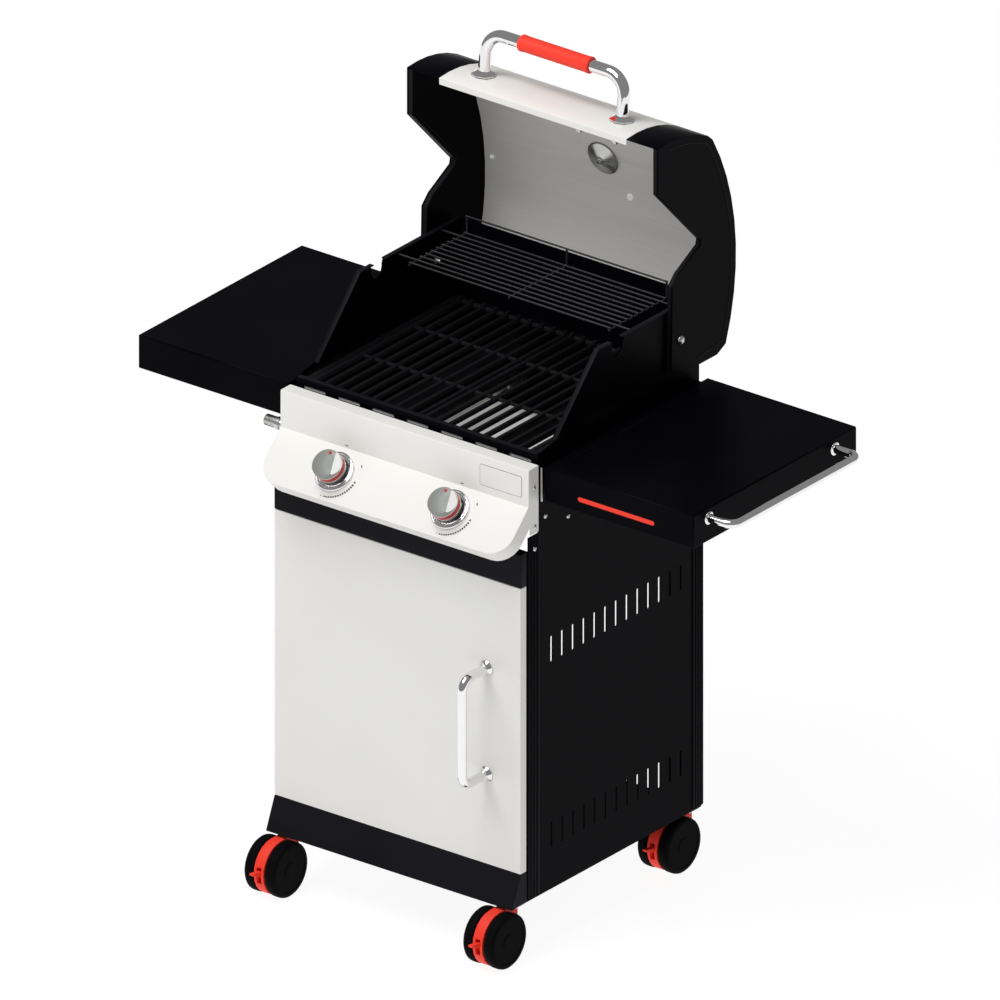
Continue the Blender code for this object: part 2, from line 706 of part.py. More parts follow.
# ------------------------------------------------------------------ shelves
def shelf(name, side):
    inner, outer = side * SHELF_INNER, side * SHELF_OUTER
    low_x, high_x = sorted((inner, outer))
    low_z = SHELF_TOP - SHELF_DEPTH
    top = box(name, (low_x, SHELF_FRONT, low_z), (high_x, SHELF_REAR, SHELF_TOP), "black_enamel")
    soften(top, 0.002)
    cut(top, box(
        name + "_hollow", (low_x + SHEET, SHELF_FRONT + SHEET, low_z - 0.02),
        (high_x - SHEET, SHELF_REAR - SHEET, SHELF_TOP - SHEET), None,
    ))
    for y in (-0.130, 0.150):
        edges = sorted((side * (CABINET_X + GAP), side * (SHELF_INNER + 0.001)))
        join(top, box(name + "_lug", (edges[0], y - 0.02, 0.830), (edges[1], y + 0.02, 0.862), None))
    if side > 0:
        for i in range(3):
            outline = slot_outline((0.283, -0.116 + 0.131 * i), 0.041, 0.0025, True)
            cut(top, slab(name + "_slot", outline, "Z", SHELF_TOP - 0.01, SHELF_TOP + 0.01, None))
    return top


def shelf_rail():
    z, bar, front, back, bend = 0.862, 0.626, -0.165, 0.173, 0.018
    root = SHELF_OUTER + GAP
    route = [(root, front, z)]
    route += rounded_corner((root, front, z), (bar, front, z), (bar, back, z), bend)
    route += rounded_corner((bar, front, z), (bar, back, z), (root, back, z), bend)
    route.append((root, back, z))
    return tube("shelf_rail", route, 0.0078, "chrome")


# ------------------------------------------------------------------ lid
def lid_path():
    """The lid's outer section with the lid open: over the top from the front edge and down the back."""
    y, z = LID_EDGE
    top = arc((y, z), (y + 0.1334, z - 0.0246), 0.010, 5)
    back = arc((y + 0.1457, z - 0.0360), (y + 0.1808, z - 0.4177), 0.0434, 9)
    return top + back + [(y + 0.1575, z - 0.4293)]


def lid_cap(name, side, path):
    """A side of the lid with a band that turns over the sheet, hollow towards the middle."""
    y, z = LID_EDGE
    opening = [
        (y + 0.0907, z - 0.4293), (y + 0.0349, z - 0.4180), (y + 0.0387, z - 0.2647), (y + 0.0560, z - 0.2470),
        (y + 0.1130, z - 0.2160), (y + 0.1150, z - 0.2060), (y, z - 0.0844),
    ]
    band = sorted((side * LID_X, side * (LID_SHEET_X + GAP)))
    cap = slab(name, path + opening, "X", *band, "black_enamel")
    inner = inset(path, PLATE)
    past = 0.05
    low = z - 0.4293 - past
    hollow = inner + [(inner[-1][0], low), (y - past, low), (y - past, inner[0][1])]
    depth = sorted((side * (LID_X - 0.004), side * (LID_SHEET_X - past)))
    cut(cap, slab(name + "_hollow", hollow, "X", *depth, None))
    start = side * LID_X - 0.01
    cut(cap, rod(name + "_bolt_hole", (start, *LID_PIVOT), (start + 0.02, *LID_PIVOT), 0.0044, None, 12))
    return cap


def lid_surface(path, y):
    """Height and slope of the lid's top at a place."""
    for (y0, z0), (y1, z1) in zip(path, path[1:]):
        if y0 <= y <= y1:
            slope = (z1 - z0) / (y1 - y0)
            return z0 + (y - y0) * slope, math.atan(slope)
    raise ValueError("outside the lid")


def lid():
    path = lid_path()
    pieces = [lid_cap("lid_left_cap", -1, path), lid_cap("lid_right_cap", 1, path)]
    y, z = LID_EDGE
    with_lip = [(y, z - 0.012)] + path
    sheet_ends = (-LID_SHEET_X, LID_SHEET_X)
    shell = slab("lid_shell", ribbon(with_lip, 0.0, PLATE), "X", *sheet_ends, "white_enamel")
    liner_x = LID_X - 0.004 - GAP
    inner_path = [point for point in path if point[0] > y + 0.008]
    liner_band = ribbon(inner_path, PLATE + GAP, PLATE + GAP + SHEET)
    liner = slab("lid_liner", liner_band, "X", -liner_x, liner_x, "steel")

    dial_at = path[9]
    before, after = Vector(path[8]), Vector(path[10])
    run = (after - before).normalized()
    out = (0.0, -run.y, run.x)
    hole_ends = [Vector((0.0, *dial_at)) + Vector(out) * reach for reach in (-0.02, 0.02)]
    hole = rod("dial_hole", *hole_ends, 0.006, None, 12)
    cut(shell, hole)
    cut(liner, hole)
    dial = [
        (0.0, 0.018), (0.028, 0.018), (0.0310, 0.014), (0.0310, 0.0008), (0.0050, 0.0008), (0.0050, -0.0062),
        (0.0310, -0.0062), (0.0310, -0.0080), (0.0120, -0.0140), (0.0045, -0.0155), (0.0035, -0.0220),
        (0.0, -0.0220),
    ]
    thermometer = turned("thermometer", dial, (0.0, *dial_at), out, "chrome", 24)

    height, slope = lid_surface(path, HANDLE_FOOT_Y)
    up = Vector((0.0, -math.sin(slope), math.cos(slope)))
    rosettes = []
    for label, side in (("left", -1), ("right", 1)):
        at = Vector((side * HANDLE_X, HANDLE_FOOT_Y, height)) + up * 0.0010
        ring = [
            (0.0126, 0.007), (0.0175, 0.007), (0.0215, 0.0035), (0.0215, 0.0), (0.0126, 0.0), (0.0126, 0.007),
        ]
        rosettes.append(turned(f"{label}_rosette", ring, at, up, "chrome", 8))
    x, bend = HANDLE_X, 0.035
    foot = (HANDLE_FOOT_Y + up.y * 0.0045, height + 0.0045)
    corners = [(-x, *foot), (-x, *HANDLE_BAR), (x, *HANDLE_BAR), (x, *foot)]
    route = [corners[0]]
    route += rounded_corner(*corners[:3], bend, 6)
    route += rounded_corner(*corners[1:], bend, 6)
    route.append(corners[3])
    handle = tube("lid_handle", route, HANDLE_RADIUS, "chrome", 3)
    grip_half = 0.0725
    grip_ends = ((-grip_half, *HANDLE_BAR), (grip_half, *HANDLE_BAR))
    grip = rod("lid_grip", *grip_ends, 0.0145, "red_plastic", 16)
    bore_ends = ((-0.09, *HANDLE_BAR), (0.09, *HANDLE_BAR))
    cut(grip, rod("grip_bore", *bore_ends, 0.0110, None, 16))
    pieces += [shell, liner, thermometer, handle, grip, *rosettes]
    axis = axis_empty("lid_axis", (0.0, *LID_PIVOT))
    carry(axis, pieces)


def lid_bolts():
    for label, side in (("left", -1), ("right", 1)):
        seat, end = side * (LID_X + GAP), side * (LID_X + 0.0045)
        shank_ends = ((side * 0.244, *LID_PIVOT), (side * (LID_X + 0.003), *LID_PIVOT))
        bolt = rod(f"{label}_hinge_bolt", *shank_ends, 0.004, "steel", 12)
        head = rod("bolt_head", (seat, *LID_PIVOT), (end, *LID_PIVOT), 0.008, None, 12)
        join(bolt, head)


# ------------------------------------------------------------------ castors
def castor_hood(name, centre):
    """The red body between the wheels: round over the front, with a socket for the stem behind."""
    y, z = centre.y, centre.z
    radius = WHEEL_RADIUS - 0.001
    outline = []
    for step in range(11):
        angle = math.radians(-62 + step * 15.2)
        outline.append((y - radius * math.cos(angle), z + radius * math.sin(angle)))
    stem_y = y + CASTOR_TRAIL
    top = z + radius
    outline += [
        (stem_y + 0.010, top), (stem_y + 0.014, top - 0.006), (stem_y + 0.014, z + 0.018),
        (y + 0.014, z - 0.010), (y, z - 0.014), (y - 0.012, z - 0.030),
    ]
    half = HOOD_WIDTH / 2
    hood = slab(name, outline, "X", centre.x - half, centre.x + half, "red_plastic")
    cut(hood, rod(name + "_bore", (centre.x - 0.02, y, z), (centre.x + 0.02, y, z), 0.0056, None, 12))
    socket = rod(name + "_socket", (centre.x, stem_y, z + 0.022), (centre.x, stem_y, top + 0.01), 0.0056, None, 12)
    cut(hood, socket)
    half_slot = PEDAL_HALF_WIDTH + 2 * GAP
    slot_low = (centre.x - half_slot, y - 0.055, z - 0.016)
    slot_high = (centre.x + half_slot, y - 0.024, z + 0.013)
    cut(hood, box(name + "_pedal_slot", slot_low, slot_high, None))
    return hood


def castor_wheels(name, centre):
    """Two wheels on one axle."""
    reach = WHEEL_GAP / 2 + WHEEL_WIDTH
    tread, inner = WHEEL_RADIUS, WHEEL_GAP / 2
    shoulder = 0.006
    profile = [(0.0, reach), (tread - 0.010, reach), (tread, reach - shoulder), (tread, inner), (0.005, inner),
               (0.005, -inner), (tread, -inner), (tread, -reach + shoulder), (tread - 0.010, -reach), (0.0, -reach)]
    return turned(name, profile, centre, (1, 0, 0), "black_rubber", 24)


def castor_pedal(name, centre):
    y, z = centre.y - 0.032, centre.z
    outline = [(y + 0.005, z - 0.005), (y + 0.005, z + 0.005), (y - 0.010, z + 0.006), (y - 0.034, z + 0.010),
               (y - 0.034, z + 0.006), (y - 0.010, z - 0.003)]
    ends = (centre.x - PEDAL_HALF_WIDTH, centre.x + PEDAL_HALF_WIDTH)
    return slab(name, outline, "X", *ends, "red_plastic")


def castor_mount(name, centre):
    stem_y = centre.y + CASTOR_TRAIL
    top = BASE_Z - GAP
    plate_low = (centre.x - 0.024, stem_y - 0.012, top - 0.003)
    plate_high = (centre.x + 0.024, stem_y + 0.014, top)
    plate = box(name, plate_low, plate_high, "steel")
    stem_low, stem_high = (centre.x, stem_y, centre.z + 0.024), (centre.x, stem_y, top - 0.001)
    join(plate, rod(name + "_stem", stem_low, stem_high, 0.005, None, 12))
    return plate


def castors():
    for label, side, y in (
        ("front_left", -1, CASTOR_Y[0]), ("front_right", 1, CASTOR_Y[0]),
        ("rear_left", -1, CASTOR_Y[1]), ("rear_right", 1, CASTOR_Y[1]),
    ):
        centre = Vector((side * CASTOR_X, y, WHEEL_RADIUS))
        castor_mount(f"{label}_castor_mount", centre)
        hood = castor_hood(f"{label}_castor_hood", centre)
        wheels = castor_wheels(f"{label}_castor_wheels", centre)
        pedal = castor_pedal(f"{label}_brake_pedal", centre)
        swivel = axis_empty(f"{label}_swivel_axis", (centre.x, y + CASTOR_TRAIL, 0.0))
        carry(swivel, (hood, wheels, pedal))


clear_scene()
parts = new_collection(COLLECTION)
cutters = new_collection("cutters")

side_panel("left_side_panel", -1)
side_panel("right_side_panel", 1)
base_panel()
kick_panel()
front_header()
rear_brace()
door()
hinge_pins()
firebox()
grate("left_grate", -1)
grate("right_grate", 1)
warming_rack()
burner("left_burner", -1)
burner("right_burner", 1)
flame_tamer("left_flame_tamer", -1)
flame_tamer("right_flame_tamer", 1)
grease_tray()
gas_train()
control_panel()
knob("left", -1)
knob("right", 1)
shelf("left_shelf", -1)
shelf("right_shelf", 1)
shelf_rail()
lid()
lid_bolts()
castors()
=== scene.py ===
# %% [markdown]
# # A gas barbecue grill with its lid open
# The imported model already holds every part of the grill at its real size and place. This lesson gives
# it its looks. Flat sheet-metal parts are copied, merged and given real edges; round parts such as the
# handles, knobs and wheels are spun and extruded again, finely; small things such as screws, printed
# marks and threads are added. The first lines load the model as a fixed frame.

# %% Load the frame
import json
import math

import bmesh
import bpy
from mathutils import Matrix, Vector


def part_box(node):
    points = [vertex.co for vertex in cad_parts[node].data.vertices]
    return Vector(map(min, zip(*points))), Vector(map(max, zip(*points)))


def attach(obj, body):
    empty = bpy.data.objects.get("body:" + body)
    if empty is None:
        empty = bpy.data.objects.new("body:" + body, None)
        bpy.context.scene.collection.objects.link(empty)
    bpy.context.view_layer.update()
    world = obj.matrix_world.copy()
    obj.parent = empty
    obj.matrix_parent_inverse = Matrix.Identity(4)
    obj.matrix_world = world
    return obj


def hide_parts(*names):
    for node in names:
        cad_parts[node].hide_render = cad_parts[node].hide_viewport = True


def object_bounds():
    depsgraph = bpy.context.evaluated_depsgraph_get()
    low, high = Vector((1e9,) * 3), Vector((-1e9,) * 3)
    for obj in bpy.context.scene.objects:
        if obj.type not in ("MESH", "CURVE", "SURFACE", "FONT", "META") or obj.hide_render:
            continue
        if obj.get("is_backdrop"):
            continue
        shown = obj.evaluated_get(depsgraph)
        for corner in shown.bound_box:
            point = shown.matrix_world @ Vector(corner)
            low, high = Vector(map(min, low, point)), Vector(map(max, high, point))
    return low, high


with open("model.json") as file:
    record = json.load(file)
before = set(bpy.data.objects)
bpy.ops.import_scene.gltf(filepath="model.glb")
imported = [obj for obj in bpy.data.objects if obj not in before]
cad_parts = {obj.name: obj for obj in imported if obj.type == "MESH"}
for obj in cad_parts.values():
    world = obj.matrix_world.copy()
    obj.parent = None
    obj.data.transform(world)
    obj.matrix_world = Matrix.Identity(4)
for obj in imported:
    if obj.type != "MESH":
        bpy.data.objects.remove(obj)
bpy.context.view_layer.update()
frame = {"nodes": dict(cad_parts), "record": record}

# %% [markdown]
# ## The camera
# The grill is shown as in a catalogue: without perspective, from the front and the right, from above.
# An orthographic camera does that. Its direction comes from two angles, and it looks at a point at
# about half of the grill's height.

# %% Camera
CAMERA_ROUND = math.radians(37.65)
CAMERA_UP = math.radians(25.07)
CAMERA_AIM = Vector((0.0164, 0.0, 0.6734))
CAMERA_FAR = 6.0
CAMERA_WIDTH = 1.6393

camera_data = bpy.data.cameras.new("camera")
camera_data.type = "ORTHO"
camera_data.ortho_scale = CAMERA_WIDTH
camera = bpy.data.objects.new("camera", camera_data)
bpy.context.scene.collection.objects.link(camera)
towards_camera = Vector((
    math.sin(CAMERA_ROUND) * math.cos(CAMERA_UP),
    -math.cos(CAMERA_ROUND) * math.cos(CAMERA_UP),
    math.sin(CAMERA_UP),
))
camera.location = CAMERA_AIM + towards_camera * CAMERA_FAR
camera.rotation_euler = (-towards_camera).to_track_quat("-Z", "Y").to_euler()
bpy.context.scene.camera = camera
print("camera at", [round(v, 3) for v in camera.location])

# %% [markdown]
# ## Shader maths as Python
# A material is a tree of nodes. Wiring it by hand takes three lines for each sum, so a small class
# wraps a node's output: adding or multiplying two of them adds the Math node, and `node` adds any
# other node.

# %% Wire
class Wire:
    """One output of a node, which can be used in a sum like a number."""

    def __init__(self, tree, socket):
        self.tree = tree
        self.socket = socket

    def node(self, kind, settings, inputs, output=0):
        made = self.tree.nodes.new(kind)
        for name, value in settings.items():
            if name == "stops":
                for stop, (place, grey) in zip(made.color_ramp.elements, value):
                    stop.position = place
                    stop.color = (grey, grey, grey, 1.0)
            else:
                setattr(made, name, value)
        for key, value in inputs.items():
            if isinstance(value, Wire):
                self.tree.links.new(value.socket, made.inputs[key])
            else:
                made.inputs[key].default_value = value
        return Wire(self.tree, made.outputs[output])

    def maths(self, operation, first, second):
        return self.node("ShaderNodeMath", {"operation": operation}, {0: first, 1: second})

    def __add__(self, other):
        return self.maths("ADD", self, other)

    def __radd__(self, other):
        return self.maths("ADD", other, self)

    def __sub__(self, other):
        return self.maths("SUBTRACT", self, other)

    def __rsub__(self, other):
        return self.maths("SUBTRACT", other, self)

    def __mul__(self, other):
        return self.maths("MULTIPLY", self, other)

    def __rmul__(self, other):
        return self.maths("MULTIPLY", other, self)


# %% Starting a finish, and the few patterns that the finishes share
finishes = {}


def new_finish(name, metallic, fixed=None):
    """A material whose unvarying values are set on the shader, and the wire of its object coordinates."""
    material = bpy.data.materials.new(name + "_finish")
    material.use_nodes = True
    tree = material.node_tree
    shader = tree.nodes["Principled BSDF"]
    shader.inputs["Metallic"].default_value = metallic
    for socket, value in (fixed or {}).items():
        shader.inputs[socket].default_value = value
    finishes[name] = material
    return shader, Wire(tree, tree.nodes.new("ShaderNodeTexCoord").outputs["Object"])


def feed(shader, socket, wire):
    wire.tree.links.new(wire.socket, shader.inputs[socket])


def noise(place, scale, detail=2.0):
    return place.node("ShaderNodeTexNoise", {}, {"Vector": place, "Scale": scale, "Detail": detail})


def stretched(place, factors):
    return place.node("ShaderNodeMapping", {}, {"Vector": place, "Scale": factors})


def between(factor, low, high):
    """A colour that goes from low to high with the factor."""
    inputs = {0: factor, 6: (*low, 1.0), 7: (*high, 1.0)}
    return factor.node("ShaderNodeMix", {"data_type": "RGBA"}, inputs, 2)


def ramp(factor, start, end):
    """0 below start, 1 above end."""
    return factor.node("ShaderNodeValToRGB", {"stops": ((start, 0.0), (end, 1.0))}, {0: factor})


def bump(shader, height, depth):
    """Raises the surface by up to depth metres."""
    inputs = {"Strength": 1.0, "Distance": depth, "Height": height}
    feed(shader, "Normal", height.node("ShaderNodeBump", {}, inputs))


# %% [markdown]
# ## Baked enamel
# The sheet metal is powder-coated and baked. The coat flows as it melts, so it has a fine orange peel
# a millimetre or so across, and a very slight change of tone over a panel. Two layers of noise do
# that: a fine one for height, a broad one for tone and gloss.

# %% Enamels
def enamel(name, thin, full, gloss, peel, specular):
    shader, place = new_finish(name, 0.0, {"Specular IOR Level": specular})
    cloud = noise(place, 5.0, 3.0)
    fine = noise(place, 700.0, 2.0)
    feed(shader, "Base Color", between(ramp(cloud, 0.35, 0.65), thin, full))
    feed(shader, "Roughness", cloud * 0.10 + gloss)
    bump(shader, fine + 0.5 * cloud, peel)


enamel("white_enamel", (0.835, 0.828, 0.796), (0.858, 0.852, 0.822), 0.38, 0.00003, 0.30)
enamel("black_enamel", (0.0014, 0.0014, 0.0026), (0.0022, 0.0022, 0.0036), 0.30, 0.00003, 0.02)
enamel("satin_black", (0.0068, 0.0066, 0.0088), (0.0088, 0.0086, 0.0110), 0.42, 0.00005, 0.06)

# %% [markdown]
# ## Castings
# The grates are cast iron under a matt enamel. Sand leaves a grain on the metal that the enamel only
# softens, so the height has two scales and the gloss breaks up in the hollows.

# %% Cast iron and the dark wire
shader, place = new_finish("cast_iron", 0.0, {"Specular IOR Level": 0.12})
sand = noise(place, 420.0, 4.0)
lump = noise(place, 60.0, 2.0)
feed(shader, "Base Color", between(ramp(sand, 0.35, 0.70), (0.0030, 0.0030, 0.0038), (0.0095, 0.0095, 0.0112)))
feed(shader, "Roughness", 0.62 - 0.22 * sand)
bump(shader, sand + 0.8 * lump, 0.00025)

shader, place = new_finish("dark_wire", 0.55, {"Specular IOR Level": 0.5})
dull = noise(place, 260.0, 3.0)
feed(shader, "Base Color", between(dull, (0.020, 0.020, 0.023), (0.060, 0.060, 0.066)))
feed(shader, "Roughness", 0.28 + 0.25 * dull)

# %% [markdown]
# ## Bright metal
# Chrome is a mirror with faint smears, so its roughness is small and cloudy. The rolled steel of the
# lid's liner and the tray has long streaks along the direction of rolling: noise that is stretched
# along X and squeezed across it. The liner, the tray and the nuts on the liner also glow faintly, though
# they are no lamps: that glow is painted light, which lightens them as if more light reached inside.

# %% Chrome, rolled steel, zinc and brass
def plating(name, dark, light, smooth, dull, metallic=1.0):
    shader, place = new_finish(name, metallic)
    smear = noise(place, 38.0, 4.0)
    feed(shader, "Base Color", between(smear, dark, light))
    feed(shader, "Roughness", smooth + (dull - smooth) * ramp(smear, 0.40, 0.75))
    bump(shader, noise(place, 22.0, 1.0), 0.0001)


plating("chrome", (0.80, 0.80, 0.81), (0.90, 0.90, 0.91), 0.03, 0.12)
plating("brass", (0.52, 0.38, 0.15), (0.66, 0.50, 0.23), 0.22, 0.40)
plating("zinc", (0.50, 0.50, 0.50), (0.72, 0.72, 0.71), 0.25, 0.45)


# painted_glow is painted light: an emission that makes a sheet look lit, though it is no lamp.
def rolled(name, dark, light, gloss, metallic, painted_glow=0.0):
    fixed = {"Emission Color": (*light, 1.0), "Emission Strength": painted_glow}
    shader, place = new_finish(name, metallic, fixed)
    streak = noise(stretched(place, (3.0, 240.0, 240.0)), 1.0, 5.0)
    patch = noise(place, 3.0, 2.0)
    feed(shader, "Base Color", between(0.5 * streak + 0.5 * patch, dark, light))
    feed(shader, "Roughness", gloss + 0.22 * streak)
    bump(shader, streak, 0.00004)


rolled("steel", (0.36, 0.36, 0.35), (0.52, 0.52, 0.51), 0.34, 0.75)
# The liner glows faintly: painted light that lightens it.
rolled("liner_steel", (0.60, 0.59, 0.57), (0.80, 0.79, 0.77), 0.42, 0.10, 0.10)
# The tray's pale steel glows: painted light that makes the tray look brightly lit through the grates.
rolled("pale_steel", (0.70, 0.70, 0.68), (0.86, 0.86, 0.84), 0.40, 0.0, 0.25)

# %% [markdown]
# ## Knob, plastics, rubber and ink
# The knob's cap is satin plated, turned on a lathe. The red parts are moulded with a fine sparked
# texture. Rubber is nearly black and scatters light. Printing is a flat dark grey.

# %% Knob finish and the plastics
shader, place = new_finish("knob_grey", 0.35, {"Specular IOR Level": 0.4})
turning = noise(stretched(place, (160.0, 900.0, 900.0)), 1.0, 3.0)
feed(shader, "Base Color", between(turning, (0.250, 0.257, 0.240), (0.315, 0.322, 0.302)))
feed(shader, "Roughness", 0.34 + 0.16 * turning)
bump(shader, turning, 0.00003)


def moulded(name, deep, bright, gloss, grain, depth, specular):
    shader, place = new_finish(name, 0.0, {"Specular IOR Level": specular})
    spark = noise(place, grain, 3.0)
    feed(shader, "Base Color", between(spark, deep, bright))
    feed(shader, "Roughness", gloss + 0.15 * spark)
    bump(shader, spark, depth)


moulded("red_plastic", (0.90, 0.040, 0.020), (1.00, 0.058, 0.032), 0.48, 1100.0, 0.00006, 0.25)
moulded("knob_red", (0.36, 0.008, 0.010), (0.46, 0.013, 0.014), 0.22, 700.0, 0.00002, 0.5)
# A painted reflection: a pale white that stands in for the bright surroundings mirrored in the knob's polished
# flat and its thin metal rims.
moulded("knob_flat", (0.88, 0.88, 0.86), (0.96, 0.96, 0.95), 0.18, 900.0, 0.00001, 0.6)
moulded("black_plastic", (0.012, 0.012, 0.013), (0.020, 0.020, 0.021), 0.35, 900.0, 0.00003, 0.4)
moulded("black_rubber", (0.0016, 0.0016, 0.0020), (0.0034, 0.0034, 0.0040), 0.60, 500.0, 0.00008, 0.04)
moulded("ink", (0.020, 0.020, 0.022), (0.032, 0.032, 0.034), 0.55, 1500.0, 0.00001, 0.3)
moulded("dial_white", (0.78, 0.78, 0.76), (0.84, 0.84, 0.82), 0.45, 900.0, 0.00001, 0.4)
print(len(finishes), "finishes:", ", ".join(sorted(finishes)))

# %% [markdown]
# ## Putting a finished piece in the scene
# Every new piece goes through one function. It merges doubled points, turns the faces outwards, shades
# the round parts smooth, lets the piece ride on its body and hides the parts of the frame that it stands
# for. Finding the sharp edges clears the marks of flat faces, so those are set last.

# %% Put
MERGE = 1e-6
SHARP = 38


def put(name, shape, body, finish, replaced=(), sharp=SHARP, plain=lambda face: False):
    bmesh.ops.remove_doubles(shape, verts=shape.verts, dist=MERGE)
    bmesh.ops.recalc_face_normals(shape, faces=shape.faces)
    round_faces = [not plain(face) for face in shape.faces]
    mesh = bpy.data.meshes.new(name)
    shape.to_mesh(mesh)
    shape.free()
    mesh.shade_smooth()
    mesh.set_sharp_from_angle(angle=math.radians(sharp))
    mesh.polygons.foreach_set("use_smooth", round_faces)
    mesh.materials.append(finishes[finish])
    piece = bpy.data.objects.new(name, mesh)
    bpy.context.scene.collection.objects.link(piece)
    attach(piece, body)
    if replaced:
        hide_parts(*replaced)
    print(f"{name}: {len(mesh.polygons)} faces")
    return piece


# %% [markdown]
# ## Shapes from a few operators
# Four kinds of shape make nearly everything: a block with eased edges, a flat outline extruded along an
# axis, a profile spun about a direction, and a round bar that is extruded along its straight runs and
# spun round its bends. Each helper returns its own bmesh, and `together` joins several into one.

# %% Block and prism
def eased(shape, edges, edge, segments=2):
    bmesh.ops.bevel(
        shape, geom=edges, offset=edge, segments=segments, profile=0.5, affect="EDGES",
        clamp_overlap=True, material=-1,
    )


def creases(shape, angle=40.0):
    limit = math.radians(angle)
    return [e for e in shape.edges if len(e.link_faces) == 2 and e.calc_face_angle() > limit]


def block(low, high, edge=0.0, segments=2):
    low, high = Vector(low), Vector(high)
    shape = bmesh.new()
    bmesh.ops.create_cube(shape, size=1.0)
    bmesh.ops.scale(shape, vec=high - low, verts=shape.verts)
    bmesh.ops.translate(shape, vec=(low + high) / 2, verts=shape.verts)
    if edge:
        eased(shape, shape.edges[:], edge, segments)
    return shape


PLANES = {"X": (1, 2, 0), "Y": (0, 2, 1), "Z": (0, 1, 2)}
CORNER_STEPS = 6


def prism(outline, axis, low, high, rounded=None, edge=0.0):
    """An outline of (a, b) points extruded along an axis. rounded gives some corners a radius."""
    a, b, c = PLANES[axis]
    shape = bmesh.new()
    corners = []
    for point in outline:
        place = [0.0, 0.0, 0.0]
        place[a], place[b], place[c] = point[0], point[1], low
        corners.append(shape.verts.new(place))
    shape.faces.new(corners)
    for corner, radius in (rounded or {}).items():
        bmesh.ops.bevel(
            shape, geom=[corners[corner]], offset=radius, segments=CORNER_STEPS, profile=0.5,
            affect="VERTICES", clamp_overlap=True, material=-1,
        )
    made = bmesh.ops.extrude_face_region(shape, geom=shape.faces[:])["geom"]
    lift = Vector((0.0, 0.0, 0.0))
    lift[c] = high - low
    bmesh.ops.translate(shape, vec=lift, verts=[v for v in made if isinstance(v, bmesh.types.BMVert)])
    bmesh.ops.recalc_face_normals(shape, faces=shape.faces)
    if edge:
        eased(shape, creases(shape), edge)
    return shape


# %% Lathe, bar and together
def facing(direction):
    """Turns +Z to a direction."""
    return Vector((0, 0, 1)).rotation_difference(Vector(direction)).to_matrix().to_4x4()


def lathe(profile, centre, direction, steps=48):
    """A profile of (radius, height) points spun about a direction through a centre."""
    shape = bmesh.new()
    points = [shape.verts.new((radius, 0.0, height)) for radius, height in profile]
    lines = [shape.edges.new(pair) for pair in zip(points, points[1:])]
    bmesh.ops.spin(
        shape, geom=points + lines, cent=(0, 0, 0), axis=(0, 0, 1), dvec=(0, 0, 0),
        angle=2 * math.pi, steps=steps, use_merge=True,
    )
    bmesh.ops.remove_doubles(shape, verts=shape.verts, dist=MERGE)
    shape.transform(Matrix.Translation(centre) @ facing(direction))
    return shape


def bar(route, radius, bend=0.0, sides=20, steps=10):
    """A round bar along straight runs, with a round bend at each corner and flat ends."""
    route = [Vector(point) for point in route]
    runs = [(b - a).normalized() for a, b in zip(route, route[1:])]
    shape = bmesh.new()
    start = Matrix.Translation(route[0]) @ facing(runs[0])
    bmesh.ops.create_circle(shape, cap_ends=False, segments=sides, radius=radius, matrix=start)
    loop, here = shape.edges[:], route[0]
    for i, corner in enumerate(route[1:]):
        last = i == len(runs) - 1
        turn = 0.0 if last else runs[i].angle(runs[i + 1])
        stop = corner - runs[i] * bend * math.tan(turn / 2)
        made = bmesh.ops.extrude_edge_only(shape, edges=loop)["geom"]
        ahead = [v for v in made if isinstance(v, bmesh.types.BMVert)]
        bmesh.ops.translate(shape, vec=stop - here, verts=ahead)
        loop, here = [e for e in made if isinstance(e, bmesh.types.BMEdge)], stop
        if last:
            break
        inward = (runs[i + 1] - runs[i] * math.cos(turn)).normalized()
        centre, axis = stop + inward * bend, runs[i].cross(runs[i + 1]).normalized()
        ring = list({v for e in loop for v in e.verts}) + loop
        made = bmesh.ops.spin(
            shape, geom=ring, cent=centre, axis=axis, dvec=(0, 0, 0), angle=turn, steps=steps,
            use_duplicate=False,
        )["geom_last"]
        loop = [e for e in made if isinstance(e, bmesh.types.BMEdge)]
        here = corner + runs[i + 1] * bend * math.tan(turn / 2)
    bmesh.ops.holes_fill(shape, edges=[e for e in shape.edges if e.is_boundary], sides=0)
    bmesh.ops.recalc_face_normals(shape, faces=shape.faces)
    return shape


def together(*shapes):
    whole = bmesh.new()
    for shape in shapes:
        scrap = bpy.data.meshes.new("scrap")
        shape.to_mesh(scrap)
        shape.free()
        whole.from_mesh(scrap)
        bpy.data.meshes.remove(scrap)
    return whole


# %% [markdown]
# ## Sheet metal from the frame
# The folded panels already have their true shape, but as loose triangles with knife edges. A copy is
# merged, its flat faces are joined up again, and its creases get the small radius that a press brake
# and a coat of enamel leave. That radius is what catches the light along every edge. Broad flat sheet
# is shaded flat: smooth shading would fan out over it from each rounded slot.

# %% Refine
node_body = {node: body for body, nodes in frame["record"]["behaviour"]["bodies"].items() for node in nodes}
node_slot = {part["node"]: part["material_slot"] for part in frame["record"]["subparts"]}

BROAD = 0.002
FLAT_WITHIN = math.radians(0.4)
GENTLE = (FLAT_WITHIN, math.radians(20))
FRAME_MERGE = 2e-6


def direction(face):
    return tuple(round(value, 2) + 0.0 for value in face.normal)


def broad_directions(shape):
    """The directions in which a folded sheet has much flat area, and no gentle curve."""
    spread, bent = {}, set()
    for face in shape.faces:
        spread[direction(face)] = spread.get(direction(face), 0.0) + face.calc_area()
    for edge in shape.edges:
        if len(edge.link_faces) == 2 and GENTLE[0] < edge.calc_face_angle(0.0) < GENTLE[1]:
            if min(face.calc_area() for face in edge.link_faces) > BROAD / 4:
                bent.update(direction(face) for face in edge.link_faces)
    return {way for way, area in spread.items() if area > BROAD} - bent


